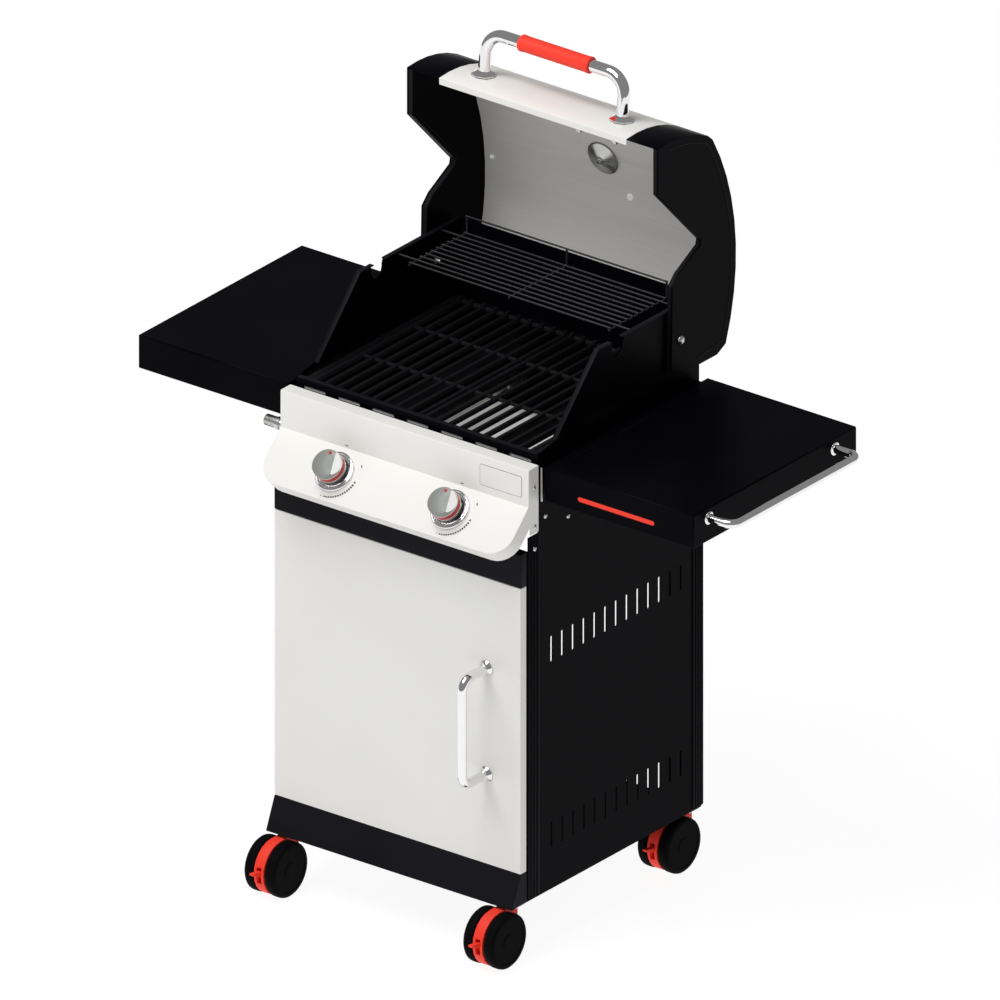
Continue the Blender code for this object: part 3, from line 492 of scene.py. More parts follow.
def refine(node, finish=None, edge=0.0006, segments=2):
    shape = bmesh.new()
    shape.from_mesh(frame["nodes"][node].data)
    bmesh.ops.remove_doubles(shape, verts=shape.verts, dist=FRAME_MERGE)
    bmesh.ops.dissolve_limit(shape, angle_limit=FLAT_WITHIN, verts=shape.verts[:], edges=shape.edges[:])
    eased(shape, creases(shape), edge, segments)
    shape.normal_update()
    flat = broad_directions(shape)
    slot = node_slot[node]
    return put(
        node + "_surface", shape, node_body[node], finish or slot, (node,),
        plain=lambda face: direction(face) in flat,
    )


for node, thing in frame["nodes"].items():
    thing.data.materials.clear()
    thing.data.materials.append(finishes[node_slot[node]])

for node in ("left_side_panel", "right_side_panel", "base_panel", "rear_brace", "firebox"):
    refine(node, edge=0.0004)
for node in ("kick_panel", "front_header"):
    refine(node, "satin_black", 0.0009)
for node in ("left_shelf", "right_shelf"):
    refine(node, edge=0.0007)
refine("door_panel", edge=0.0010, segments=3)
refine("control_panel", edge=0.0010, segments=3)
for node in ("lid_left_cap", "lid_right_cap"):
    refine(node, edge=0.0014, segments=3)
refine("lid_shell", edge=0.0008)
# The liner's faint glow is painted light.
refine("lid_liner", "liner_steel", 0.0004)
# The tray glows: painted light that makes it look brightly lit.
refine("grease_tray", "pale_steel", 0.0005)
for node in ("left_flame_tamer", "right_flame_tamer", "left_burner", "right_burner"):
    refine(node, edge=0.0005)

# %% [markdown]
# ## Post strips
# The corners of the cabinet are stiffened by a strip with pressed grooves, at the front and at the rear
# of each side. Each is an outline in the ground plane, extruded upwards.

# %% Post strips
side_low, side_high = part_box("right_side_panel")
STRIP_PROUD = 0.0012
GROOVES = 3
GROOVE_TOP, GROOVE_FLOOR = 0.0016, 0.0006
strip_top = {"front": 0.760, "rear": 0.818}
for side, label in ((-1, "left"), (1, "right")):
    for end, width in (("front", 0.032), ("rear", 0.029)):
        near = side_low.y if end == "front" else side_high.y - width
        pitch = width / (GROOVES + 1)
        face, floor = side * (side_high.x + STRIP_PROUD), side * (side_high.x + STRIP_PROUD * 0.2)
        outline = [(side * side_high.x, near), (face, near)]
        for i in range(GROOVES):
            middle = near + (i + 1) * pitch
            outline += [
                (face, middle - GROOVE_TOP), (floor, middle - GROOVE_FLOOR),
                (floor, middle + GROOVE_FLOOR), (face, middle + GROOVE_TOP),
            ]
        outline += [(face, near + width), (side * side_high.x, near + width)]
        strip = prism(outline, "Z", side_low.z + 0.002, strip_top[end], edge=0.0002)
        put(f"{label}_{end}_post_strip", strip, "cabinet", "black_enamel")

# %% [markdown]
# ## Screws
# Pan-head screws show on the panel's side, on the post and under the shelf. One head is a spun profile
# with a small round recess; a list of places and directions makes the rest.

# %% Screws
def screw_head(place, direction, radius=0.0042):
    tall = radius * 0.55
    profile = [
        (0.0, tall * 0.45), (radius * 0.30, tall * 0.45), (radius * 0.36, tall), (radius * 0.62, tall * 0.93),
        (radius * 0.88, tall * 0.60), (radius, tall * 0.12), (radius, -0.0004), (0.0, -0.0004),
    ]
    return lathe(profile, place, direction, 20)


panel_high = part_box("control_panel")[1]
panel_side, post_side = panel_high.x, side_high.x + STRIP_PROUD
for side, label in ((-1, "left"), (1, "right")):
    outward = (side, 0, 0)
    places = [
        (panel_side, -0.2206, 0.8457), (panel_side, -0.2180, 0.7740), (post_side, -0.2180, 0.7340),
        (side_high.x, -0.1880, 0.7820), (side_high.x, -0.1267, 0.7595),
    ]
    heads = [screw_head((side * x, y, z), outward) for x, y, z in places]
    put(f"{label}_side_screws", together(*heads), "cabinet", "zinc")

# %% [markdown]
# ## Door handle, lid handle and shelf rail
# All three are bent round bars. The door handle stands on two flared collars, the lid handle on two
# eight-sided rosettes, and the rail's ends go into small flanges on the shelf.

# %% Door handle
door_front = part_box("door_panel")[0].y
handle_low, handle_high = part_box("door_handle")
HANDLE_X = (handle_low.x + handle_high.x) / 2
DOOR_BAR = 0.008
COLLAR = 0.0135
reach = handle_low.y + DOOR_BAR
ends = (handle_low.z + COLLAR, handle_high.z - COLLAR)
route = [
    (HANDLE_X, door_front, ends[0]), (HANDLE_X, reach, ends[0]),
    (HANDLE_X, reach, ends[1]), (HANDLE_X, door_front, ends[1]),
]
DOOR_BEND = 0.022
shapes = [bar(route, DOOR_BAR, DOOR_BEND, 28, 12)]
collar = [
    (0.0, 0.0), (COLLAR, 0.0), (COLLAR, 0.0018), (COLLAR - 0.0010, 0.0030), (COLLAR - 0.0035, 0.0060),
    (DOOR_BAR + 0.0006, 0.0105), (DOOR_BAR - 0.0010, 0.0110), (0.0, 0.0110),
]
for z in ends:
    shapes.append(lathe(collar, (HANDLE_X, door_front - 0.0002, z), (0, -1, 0), 36))
put("door_handle_bar", together(*shapes), "door", "chrome", ("door_handle",))

# %% Shelf rail
rail_low, rail_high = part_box("shelf_rail")
RAIL_BAR = 0.0078
rail_z = (rail_low.z + rail_high.z) / 2
rail_x = rail_high.x - RAIL_BAR
ends = (rail_low.y + RAIL_BAR, rail_high.y - RAIL_BAR)
route = [
    (rail_low.x, ends[0], rail_z), (rail_x, ends[0], rail_z),
    (rail_x, ends[1], rail_z), (rail_low.x, ends[1], rail_z),
]
RAIL_BEND = 0.018
shapes = [bar(route, RAIL_BAR, RAIL_BEND, 28, 12)]
flange = [(0.0, 0.0), (0.0115, 0.0), (0.0112, 0.0016), (0.0090, 0.0026), (0.0, 0.0026)]
for y in ends:
    shapes.append(lathe(flange, (rail_low.x, y, rail_z), (1, 0, 0), 32))
put("shelf_rail_bar", together(*shapes), "cabinet", "chrome", ("shelf_rail",))

# %% Lid handle, grip and rosettes
lid_low, lid_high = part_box("lid_handle")
LID_BAR = 0.0105
LEG_X = lid_high.x - LID_BAR
grip_low, grip_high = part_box("lid_grip")
bar_y, bar_z = (grip_low.y + grip_high.y) / 2, (grip_low.z + grip_high.z) / 2
foot_y, foot_z = lid_low.y + LID_BAR, lid_low.z + 0.0015
route = [(-LEG_X, foot_y, foot_z), (-LEG_X, bar_y, bar_z), (LEG_X, bar_y, bar_z), (LEG_X, foot_y, foot_z)]
LID_BEND = 0.035
put("lid_handle_bar", bar(route, LID_BAR, LID_BEND, 32, 14), "lid", "chrome", ("lid_handle",))

grip_radius, grip_half = (grip_high.z - grip_low.z) / 2, grip_high.x
profile = [
    (LID_BAR, -grip_half), (grip_radius - 0.0012, -grip_half), (grip_radius, -grip_half + 0.0014),
    (grip_radius, -grip_half + 0.006), (grip_radius - 0.0006, -grip_half + 0.009),
    (grip_radius - 0.0006, grip_half - 0.009), (grip_radius, grip_half - 0.006),
    (grip_radius, grip_half - 0.0014), (grip_radius - 0.0012, grip_half), (LID_BAR, grip_half),
    (LID_BAR, -grip_half),
]
sleeve = lathe(profile, (0, bar_y, bar_z), (1, 0, 0), 48)
put("lid_grip_sleeve", sleeve, "lid", "red_plastic", ("lid_grip",))

# %% [markdown]
# ## The lid's outline
# The lid is one curve: a shallow arc over the top, and a long arc down the back. The same curve carries
# the rosettes, the dial, and the beads and rims of the side caps.

# %% Lid outline
cap_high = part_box("lid_right_cap")[1]


def bulge(start, end, rise, steps):
    """Points on the arc from start to end that rises by rise to the left of the way."""
    start, end = Vector(start), Vector(end)
    chord = end - start
    radius = chord.length ** 2 / (8 * rise) + rise / 2
    left = Vector((-chord.y, chord.x)).normalized()
    centre = (start + end) / 2 - left * (radius - rise)
    first = start - centre
    sweep = -first.angle_signed(end - centre)
    return [centre + Matrix.Rotation(sweep * step / steps, 2) @ first for step in range(steps + 1)]


EDGE = Vector((0.109, 1.337))
top_arc = bulge(EDGE, EDGE + Vector((0.1334, -0.0246)), 0.010, 5)
back_arc = bulge(EDGE + Vector((0.1457, -0.0360)), EDGE + Vector((0.1808, -0.4177)), 0.0434, 9)
lid_curve = top_arc + back_arc + [EDGE + Vector((0.1575, -0.4293))]
opening = [
    EDGE + Vector(offset) for offset in (
        (0.0907, -0.4293), (0.0349, -0.4180), (0.0387, -0.2647), (0.0560, -0.2470), (0.1130, -0.2160),
        (0.1150, -0.2060), (0.0, -0.0844),
    )
]


def beside(path, distance):
    """The path moved to its right."""
    moved = []
    for i, here in enumerate(path):
        back = (here - path[i - 1]).normalized() if i else None
        ahead = (path[i + 1] - here).normalized() if i < len(path) - 1 else None
        run = ((back or ahead) + (ahead or back)).normalized()
        square = run.dot(back or ahead)
        moved.append(here + Vector((run.y, -run.x)) * distance / max(0.5, square))
    return moved


def strip_along(path, thick, low_x, high_x, edge=0.0):
    outline = [tuple(p) for p in path] + [tuple(p) for p in reversed(beside(path, thick))]
    return prism(outline, "X", low_x, high_x, edge=edge)


# %% Rosettes
up = Vector((0.0, bar_y - foot_y, bar_z - foot_z)).normalized()
for side, label in ((-1, "left"), (1, "right")):
    low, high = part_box(f"{label}_rosette")
    foot = (low + high) / 2 - up * 0.0035
    ring = [
        (LID_BAR, 0.0072), (0.0120, 0.0072), (0.0130, 0.0066), (0.0205, 0.0024), (0.0215, 0.0016),
        (0.0215, 0.0002), (LID_BAR, 0.0002), (LID_BAR, 0.0072),
    ]
    flange = lathe(ring, foot, up, 8)
    put(f"{label}_rosette_flange", flange, "lid", "chrome", (f"{label}_rosette",), 10)

# %% [markdown]
# ## Rims and beads of the lid's caps
# Each cap is a shallow pressing. Its open edge is turned inwards by about a centimetre, and a bead is
# pressed into it a little way in from the back edge, which keeps the flat side from drumming.

# %% Cap rims and beads
RIM = 0.011
BEAD_IN = 0.013
OPENING_IN = 0.012
for side, label in ((-1, "left"), (1, "right")):
    xs = sorted((side * (cap_high.x - RIM), side * (cap_high.x - 0.0030)))
    rim = strip_along([*opening, EDGE], 0.0022, *xs)
    put(f"{label}_cap_rim", rim, "lid", "satin_black")
    face = side * (cap_high.x - 0.0003)
    inner = beside(lid_curve, BEAD_IN)
    route = [(face, p.x, p.y) for p in inner[1:-1]]
    route.append((face, opening[0].x + OPENING_IN, opening[0].y + BEAD_IN))
    put(f"{label}_cap_bead", bar(route, 0.0011, 0.0, 10), "lid", "satin_black")
    face = side * (cap_high.x - 0.0043)
    route = [(face, p.x + OPENING_IN, p.y) for p in opening[1:]]
    put(f"{label}_cap_inner_bead", bar(route, 0.0012, 0.0, 10), "lid", "satin_black")

# %% [markdown]
# ## Thermometer
# A dial stands on the outside of the lid, and a bright cone with the probe's stem shows inside. On the
# dial, plain ticks stand for the scale.

# %% Thermometer
DIAL_POINT = 9
dial_at = lid_curve[DIAL_POINT]
run = (lid_curve[DIAL_POINT + 1] - lid_curve[DIAL_POINT - 1]).normalized()
dial_out = Vector((0.0, -run.y, run.x))
dial_centre = Vector((0.0, dial_at.x, dial_at.y))
cone = [
    (0.0050, -0.0062), (0.0302, -0.0062), (0.0310, -0.0070), (0.0308, -0.0078), (0.0292, -0.0078),
    (0.0280, -0.0074), (0.0220, -0.0092), (0.0120, -0.0132), (0.0075, -0.0148), (0.0070, -0.0156),
    (0.0050, -0.0158), (0.0046, -0.0176), (0.0034, -0.0180), (0.0034, -0.0212), (0.0026, -0.0220),
    (0.0, -0.0220),
]
housing = [
    (0.0, 0.0008), (0.0290, 0.0008), (0.0306, 0.0020), (0.0312, 0.0060), (0.0312, 0.0150), (0.0300, 0.0176),
    (0.0284, 0.0180), (0.0278, 0.0172), (0.0276, 0.0150), (0.0, 0.0150),
]
stem = [(0.0, 0.0010), (0.0048, 0.0010), (0.0048, -0.0065), (0.0, -0.0065)]
bowl = lathe([(0.0, -0.0062)] + cone, dial_centre, dial_out, 56)
put("thermometer_cone", bowl, "lid", "zinc", ("thermometer",), 20)
case = together(lathe(housing, dial_centre, dial_out, 56), lathe(stem, dial_centre, dial_out, 24))
put("thermometer_case", case, "lid", "chrome", ("thermometer",))

dial_frame = Matrix.Translation(dial_centre) @ facing(dial_out)
card = lathe([(0.0, 0.0151), (0.0274, 0.0151), (0.0274, 0.0155), (0.0, 0.0155)], dial_centre, dial_out, 48)
put("thermometer_card", card, "lid", "dial_white")
ticks = []
TICKS, FIRST_TICK, TICK_STEP, NEEDLE_TURN = 13, -120, 20, 118
for i in range(TICKS):
    long = 0.0045 if i % 3 == 0 else 0.0026
    tick = block((-0.0004, 0.0240 - long, 0.0155), (0.0004, 0.0240, 0.0157))
    tick.transform(dial_frame @ Matrix.Rotation(math.radians(FIRST_TICK + TICK_STEP * i), 4, "Z"))
    ticks.append(tick)
put("thermometer_ticks", together(*ticks), "lid", "ink")
needle = prism([(-0.0012, -0.005), (0.0012, -0.005), (0.0003, 0.019), (-0.0003, 0.019)], "Z", 0.0158, 0.0163)
needle.transform(dial_frame @ Matrix.Rotation(math.radians(NEEDLE_TURN), 4, "Z"))
pin = lathe([(0.0, 0.0156), (0.0024, 0.0156), (0.0024, 0.0168), (0.0, 0.0170)], dial_centre, dial_out, 20)
put("thermometer_needle", together(needle, pin), "lid", "red_plastic")

# %% [markdown]
# ## Bolts, nuts and clips
# The lid turns on two domed bolts, with a nut on a spacer inside each wall of the firebox. Small clips
# hold the liner under the lid's front lip, and a round nut and a screw sit on the liner itself.

# %% Hinge bolts
PIVOT = Vector((0.0, 0.1684, 0.9703))
wall_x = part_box("right_grate")[1].x + 0.007
for side, label in ((-1, "left"), (1, "right")):
    head = [
        (0.0, 0.0052), (0.0030, 0.0050), (0.0060, 0.0036), (0.0078, 0.0016), (0.0080, 0.0003), (0.0, 0.0003),
    ]
    shank = [(0.0, -0.0240), (0.0036, -0.0240), (0.0040, -0.0232), (0.0040, 0.0010), (0.0, 0.0010)]
    nut = [
        (0.0040, 0.0), (0.0075, 0.0), (0.0078, 0.0004), (0.0078, 0.0050), (0.0072, 0.0056), (0.0040, 0.0056),
        (0.0040, 0.0),
    ]
    at = Vector((side * cap_high.x, PIVOT.y, PIVOT.z))
    bolt = together(lathe(head, at, (side, 0, 0), 32), lathe(shank, at, (side, 0, 0), 24))
    put(f"{label}_hinge_bolt_head", bolt, "cabinet", "zinc", (f"{label}_hinge_bolt",))
    inside = Vector((side * wall_x, PIVOT.y, PIVOT.z))
    put(f"{label}_hinge_nut", lathe(nut, inside, (-side, 0, 0), 6), "cabinet", "zinc", (), 10)

# %% Clips and nuts on the liner
CLIP_HALF = 0.0045
clips = []
for x in (0.092, 0.166):
    low, high = (x - CLIP_HALF, EDGE.x + 0.0025, 1.3185), (x + CLIP_HALF, EDGE.x + 0.0095, 1.3245)
    clips.append(block(low, high, 0.0008))
put("lid_lip_clips", together(*clips), "lid", "zinc")


def liner_point(height):
    """The liner's inner surface at a height, and the way into the lid."""
    sheet = beside(lid_curve, 0.0039)
    for a, b in zip(sheet[6:], sheet[7:]):
        if b.y <= height <= a.y:
            across = a.x + (b.x - a.x) * (height - a.y) / (b.y - a.y)
            along = (b - a).normalized()
            return across, Vector((0.0, along.y, -along.x))
    raise ValueError("outside the liner")


across, inward = liner_point(1.116)
profile = [(0.0, 0.0030), (0.0046, 0.0030), (0.0056, 0.0022), (0.0058, 0.0), (0.0, 0.0)]
nut = lathe(profile, (0.0465, across, 1.115), inward, 24)
liner_screw = screw_head((-0.2405, across, 1.106), inward, 0.0036)
# The nuts share the tray's pale steel and its painted glow.
put("liner_nuts", together(nut, liner_screw), "lid", "pale_steel")

# %% [markdown]
# ## Knobs
# From the panel outwards a knob has a grey base, a black skirt, a red ring between two thin rims, a
# satin cap, and a red dot that points to the setting. The rims are painted pale white: a painted reflection
# of the bright surroundings in thin metal. One side of the cap is cut off flat, which `bisect_plane` does,
# and the flat is painted pale white as well: a painted reflection of the bright surroundings in its polished
# face. The face it stands on leans back at 45 degrees, so the cap and the dot are made about +Z first and
# then turned.

# %% Face frame
CREASE = (panel_high.z - 0.0665, -0.235)
KNOB_DROP = 0.0445
STEM_RADIUS = 0.004
FACE_LEAN = math.radians(45)


def knob_frame(side):
    knob_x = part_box("right_valve_stem")[1].x - STEM_RADIUS
    crease = Matrix.Translation((0.0, CREASE[1], CREASE[0])) @ Matrix.Rotation(FACE_LEAN, 4, "X")
    return crease @ Matrix.Translation((side * knob_x, -KNOB_DROP, 0.0))


def ring_between(inner, outer, low, high, edge=0.0003):
    return [
        (inner, low), (outer - edge, low), (outer, low + edge), (outer, high - edge), (outer - edge, high),
        (inner, high), (inner, low),
    ]


# %% Knobs and bezels
FRONT = 0.0370
CAP_BACK = 0.0275
RED_FRONT = 0.0262
RED_BACK = 0.0172
RIM_BACK = 0.0160
SKIRT_BACK = 0.0125
BACK = 0.0095
FACET_AT = 0.0145
FACET_SLOPE = math.radians(39)
FACET_LEAN = math.radians(13)
CORE = 0.0200
BORE = 0.0043
DOT, DOT_OUT = 0.0030, 0.0188
ORIGIN, UP = (0, 0, 0), (0, 0, 1)
for side, label in ((-1, "left"), (1, "right")):
    placed = knob_frame(side)
    centre, out = placed.translation, placed.to_3x3() @ Vector((0, 0, 1))
    body, node = f"{label}_knob", f"{label}_knob"
    cap = lathe(
        [(0.0, CAP_BACK), (0.0251, CAP_BACK), (0.0255, CAP_BACK + 0.0004), (0.0255, FRONT - 0.0022),
         (0.0250, FRONT - 0.0011), (0.0242, FRONT - 0.0003), (0.0234, FRONT), (0.0, FRONT)], ORIGIN, UP, 72,
    )
    across = Vector((math.cos(FACET_LEAN), math.sin(FACET_LEAN), 0.0))
    normal = across * math.sin(FACET_SLOPE) + Vector((0, 0, 1)) * math.cos(FACET_SLOPE)
    start = across * FACET_AT + Vector((0, 0, FRONT))
    everything = cap.verts[:] + cap.edges[:] + cap.faces[:]
    sliced = bmesh.ops.bisect_plane(cap, geom=everything, plane_co=start, plane_no=normal, clear_outer=True)
    rim = [e for e in sliced["geom_cut"] if isinstance(e, bmesh.types.BMEdge)]
    bmesh.ops.contextual_create(cap, geom=rim)
    cap.transform(placed)
    piece = put(f"{label}_knob_cap", cap, body, "knob_grey", (node,), 25)
    # The flat gets the pale white of a painted reflection.
    piece.data.materials.append(finishes["knob_flat"])
    turned_normal = placed.to_3x3() @ normal
    for polygon in piece.data.polygons:
        if polygon.normal.dot(turned_normal) > 0.999:
            polygon.material_index = 1
    red = lathe(ring_between(CORE, 0.0266, RED_BACK, RED_FRONT), centre, out, 64)
    put(f"{label}_knob_ring", red, body, "knob_red", (node,))
    # The two thin rims get the pale white of a painted reflection.
    upper = lathe(ring_between(CORE, 0.0262, RED_FRONT, CAP_BACK), centre, out, 64)
    lower = lathe(ring_between(CORE, 0.0268, RIM_BACK, RED_BACK), centre, out, 64)
    put(f"{label}_knob_rims", together(upper, lower), body, "knob_flat", (node,))
    skirt = [
        (BORE, SKIRT_BACK), (0.0250, SKIRT_BACK), (0.0258, SKIRT_BACK + 0.0010), (0.0260, RIM_BACK),
        (BORE, RIM_BACK), (BORE, SKIRT_BACK),
    ]
    put(f"{label}_knob_skirt", lathe(skirt, centre, out, 64), body, "black_plastic", (node,))
    base = [
        (BORE, BACK), (0.0246, BACK), (0.0250, BACK + 0.0005), (0.0250, SKIRT_BACK), (BORE, SKIRT_BACK),
        (BORE, BACK),
    ]
    put(f"{label}_knob_base", lathe(base, centre, out, 64), body, "zinc", (node,))
    disc = [(0.0, FRONT - 0.0002), (DOT, FRONT - 0.0002), (DOT, FRONT + 0.0003), (0.0, FRONT + 0.0003)]
    dot = lathe(disc, ORIGIN, UP, 24)
    dot.transform(placed @ Matrix.Translation((0, DOT_OUT, 0)))
    put(f"{label}_knob_dot", dot, body, "knob_red")
    dish = [
        (0.0085, 0.0003), (0.0357, 0.0003), (0.0357, 0.0022), (0.0353, 0.0034), (0.0345, 0.0040),
        (0.0337, 0.0036), (0.0333, 0.0028), (0.0328, 0.0030), (0.0322, 0.0046), (0.0312, 0.0050),
        (0.0304, 0.0044), (0.0300, 0.0034), (0.0294, 0.0034), (0.0288, 0.0044), (0.0278, 0.0044),
        (0.0270, 0.0034), (0.0260, 0.0030), (0.0085, 0.0030), (0.0085, 0.0003),
    ]
    put(f"{label}_bezel_dish", lathe(dish, centre, out, 72), "cabinet", "chrome", (f"{label}_bezel",))

# %% [markdown]
# ## Printed marks
# An arc of dashes that grow says how far to open the valve, with a plain mark for off. They are thin
# slips of ink that stand a quarter of a millimetre proud. The notice on the panel is only an empty
# outline, and the shelf has a plain red stripe.

# %% Marks round the knobs
DASHES = 14
MARK_RADIUS = 0.0450
INK = 0.00025
ARC_START, ARC_LENGTH = -88, 72
ARROW_TURN, BOLT_TURN, LOW_TURN = -9, 28, -96


def turned_mark(mark, placed, degrees):
    mark.transform(placed @ Matrix.Rotation(math.radians(degrees), 4, "Z"))
    return mark


for side, label in ((-1, "left"), (1, "right")):
    placed = knob_frame(side)
    marks = []
    for i in range(DASHES):
        share = i / (DASHES - 1)
        half_long, half_wide = 0.0011 + 0.0009 * share, 0.0014
        dash = block((MARK_RADIUS - half_long, -half_wide, -INK), (MARK_RADIUS + half_long, half_wide, INK))
        marks.append(turned_mark(dash, placed, ARC_START + ARC_LENGTH * share))
    arrow = prism([(0.0425, -0.0012), (0.0475, -0.0012), (0.0450, 0.0026)], "Z", -INK, INK)
    marks.append(turned_mark(arrow, placed, ARROW_TURN))
    bolt_mark = block((0.0477, -0.0026, -INK), (0.0493, 0.0026, INK))
    marks.append(turned_mark(bolt_mark, placed, BOLT_TURN))
    low_mark = block((0.0440, -0.0004, -INK), (0.0465, 0.0004, INK))
    marks.append(turned_mark(low_mark, placed, LOW_TURN))
    knob_x = placed.translation.x
    low = (knob_x - 0.0030, CREASE[1] - INK, CREASE[0] + 0.0040)
    high = (knob_x + 0.0030, CREASE[1] + INK, CREASE[0] + 0.0054)
    marks.append(block(low, high))
    put(f"{label}_knob_marks", together(*marks), "cabinet", "ink")

# %% Empty notice frame and the red stripe on the shelf
NOTICE = ((0.156, 0.829), (0.243, 0.867))
LINE = 0.0006
SUNK = 0.0002


def plate(corners, inset, front, back, radius):
    """A thin upright plate with four round corners, a little smaller than the outline it's given."""
    (x0, z0), (x1, z1) = corners
    x0, z0, x1, z1 = x0 + inset, z0 + inset, x1 - inset, z1 - inset
    return prism([(x0, z0), (x1, z0), (x1, z1), (x0, z1)], "Y", front, back, {i: radius for i in range(4)})


frame_line = plate(NOTICE, 0.0, CREASE[1] - INK, CREASE[1] + SUNK, 0.004)
middle = plate(NOTICE, LINE, CREASE[1] - INK * 1.6, CREASE[1] + SUNK, 0.0035)
put("notice_outline", frame_line, "cabinet", "ink")
put("notice_middle", middle, "cabinet", "white_enamel")

shelf_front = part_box("right_shelf")[0].y
STRIPE = ((0.336, 0.8385), (0.494, 0.8465))
stripe = plate(STRIPE, 0.0, shelf_front - INK, shelf_front + 0.0003, 0.0038)
put("shelf_stripe", stripe, "cabinet", "red_plastic")

# %% [markdown]
# ## Grates
# A grate is cast in one piece: tapered bars with rounded backs, two cross bars and a border. The bars
# run at the frame's own pitch. At the rear each bar ends in a small lug that stops food from rolling
# off.

# %% Grates
BAR_PITCH = 0.0243
BAR_WIDE = 0.0110
CROSS_BARS = (-0.057, 0.081)
CROSS_WIDE, CROSS_DROP = 0.009, 0.0016
BORDER_WIDE, BORDER_DROP = 0.011, 0.001
SLIM = 0.31
LUG_HALF = 0.0035
BORDER = 0.010


def tapered_bar(axis, middle, wide, low, high, start, end):
    slim = wide * SLIM
    outline = [(middle - wide / 2, low), (middle + wide / 2, low), (middle + slim, high), (middle - slim, high)]
    return prism(outline, axis, start, end, {2: 0.0016, 3: 0.0016})


for side, label in ((-1, "left"), (1, "right")):
    low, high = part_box(f"{label}_grate")
    seam = low.x if side > 0 else high.x
    outer = high.x if side > 0 else low.x
    parts = []
    count = int((abs(outer - seam) - BAR_WIDE) / BAR_PITCH)
    for i in range(count + 1):
        middle = seam + side * (BAR_WIDE / 2 + i * BAR_PITCH)
        wide = BAR_WIDE if i < count else BAR_WIDE * 1.2
        parts.append(tapered_bar("Y", middle, wide, low.z, high.z, low.y + 0.001, high.y - 0.001))
        lug_low = (middle - LUG_HALF, high.y - 0.012, high.z - 0.003)
        lug_high = (middle + LUG_HALF, high.y - 0.003, high.z + 0.0035)
        parts.append(block(lug_low, lug_high, 0.0012))
    edge_x = sorted((outer, outer - side * BORDER))
    parts.append(block((edge_x[0], low.y, low.z), (edge_x[1], high.y, high.z - 0.0008), 0.0008))
    across_bars = [(y, CROSS_WIDE, CROSS_DROP) for y in CROSS_BARS]
    ends = [(y, BORDER_WIDE, BORDER_DROP) for y in (low.y + BORDER_WIDE / 2, high.y - BORDER_WIDE / 2)]
    for y, wide, drop in (ends[0], *across_bars, ends[1]):
        parts.append(tapered_bar("X", y, wide, low.z, high.z - drop, low.x + 0.0004, high.x - 0.0004))
    put(f"{label}_grate_casting", together(*parts), "cabinet", "cast_iron", (f"{label}_grate",))

# %% [markdown]
# ## Warming rack
# Welded wire: eleven long wires on three cross wires, and a raised wire at the rear. Two of the long
# ones are long enough to rest on the walls.

# %% Warming rack
rack_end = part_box("warming_rack")[1].x
WIRES = 11
GUARD = 0.028
WIRE, CROSS = 0.0016, 0.0019
rack_z, rack_front, rack_back = 1.021, 0.049, 0.195
rack_rear = rack_back + 0.0055
short = 0.209
wires = []
for i in range(WIRES):
    y = rack_front + i * (rack_back - rack_front) / (WIRES - 1)
    half = rack_end - 0.0002 if i in (1, WIRES - 2) else short
    wires.append(bar([(-half, y, rack_z), (half, y, rack_z)], WIRE, 0.0, 12))
below = rack_z - WIRE - CROSS + 0.0006
for x in (-short + 0.002, 0.0, short - 0.002):
    route = [(x, rack_front - 0.004, below), (x, rack_rear, below), (x, rack_rear, rack_z + GUARD)]
    wires.append(bar(route, CROSS, 0.006, 12, 6))
wires.append(bar([(-short, rack_rear, rack_z + GUARD), (short, rack_rear, rack_z + GUARD)], WIRE, 0.0, 12))
put("warming_rack_wires", together(*wires), "cabinet", "dark_wire", ("warming_rack",))

# %% [markdown]
# ## Firebox trim
# The front lip is folded back over the grates, and pale metal shows through the slots below it. The
# sloping side walls end in a folded edge too.

# %% Firebox trim
box_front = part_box("firebox")[0].y
LIP_TOP = 0.896
LIP_HALF = 0.2475
low, high = (-LIP_HALF, box_front - 0.0004, LIP_TOP - 0.0008), (LIP_HALF, box_front + 0.0085, LIP_TOP + 0.0010)
lip = block(low, high, 0.0006)
put("firebox_lip_fold", lip, "cabinet", "satin_black")
backing = block((-0.2400, box_front + 0.0022, 0.8770), (0.2400, box_front + 0.0030, 0.8850))
put("firebox_lip_backing", backing, "cabinet", "dial_white")
slope_path = [Vector((-0.1540, 0.9040)), Vector((-0.0395, 1.0266)), Vector((-0.0035, 1.0266))]
rear_path = [Vector((0.0275, 1.0266)), Vector((0.2300, 1.0266))]
for side, label in ((-1, "left"), (1, "right")):
    xs = sorted((side * 0.2415, side * 0.2505))
    folds = [strip_along(path, 0.0018, *xs, edge=0.0004) for path in (slope_path, rear_path)]
    put(f"{label}_wall_fold", together(*folds), "cabinet", "satin_black")

# %% [markdown]
# ## Gas inlet
# The manifold's end carries a screw thread for the hose. At this size rings do for a thread: a profile
# that goes up and down, spun once. The bracket that holds the right shelf shows beside the panel, and a
# dark plate of it lies under the shelf's slots.

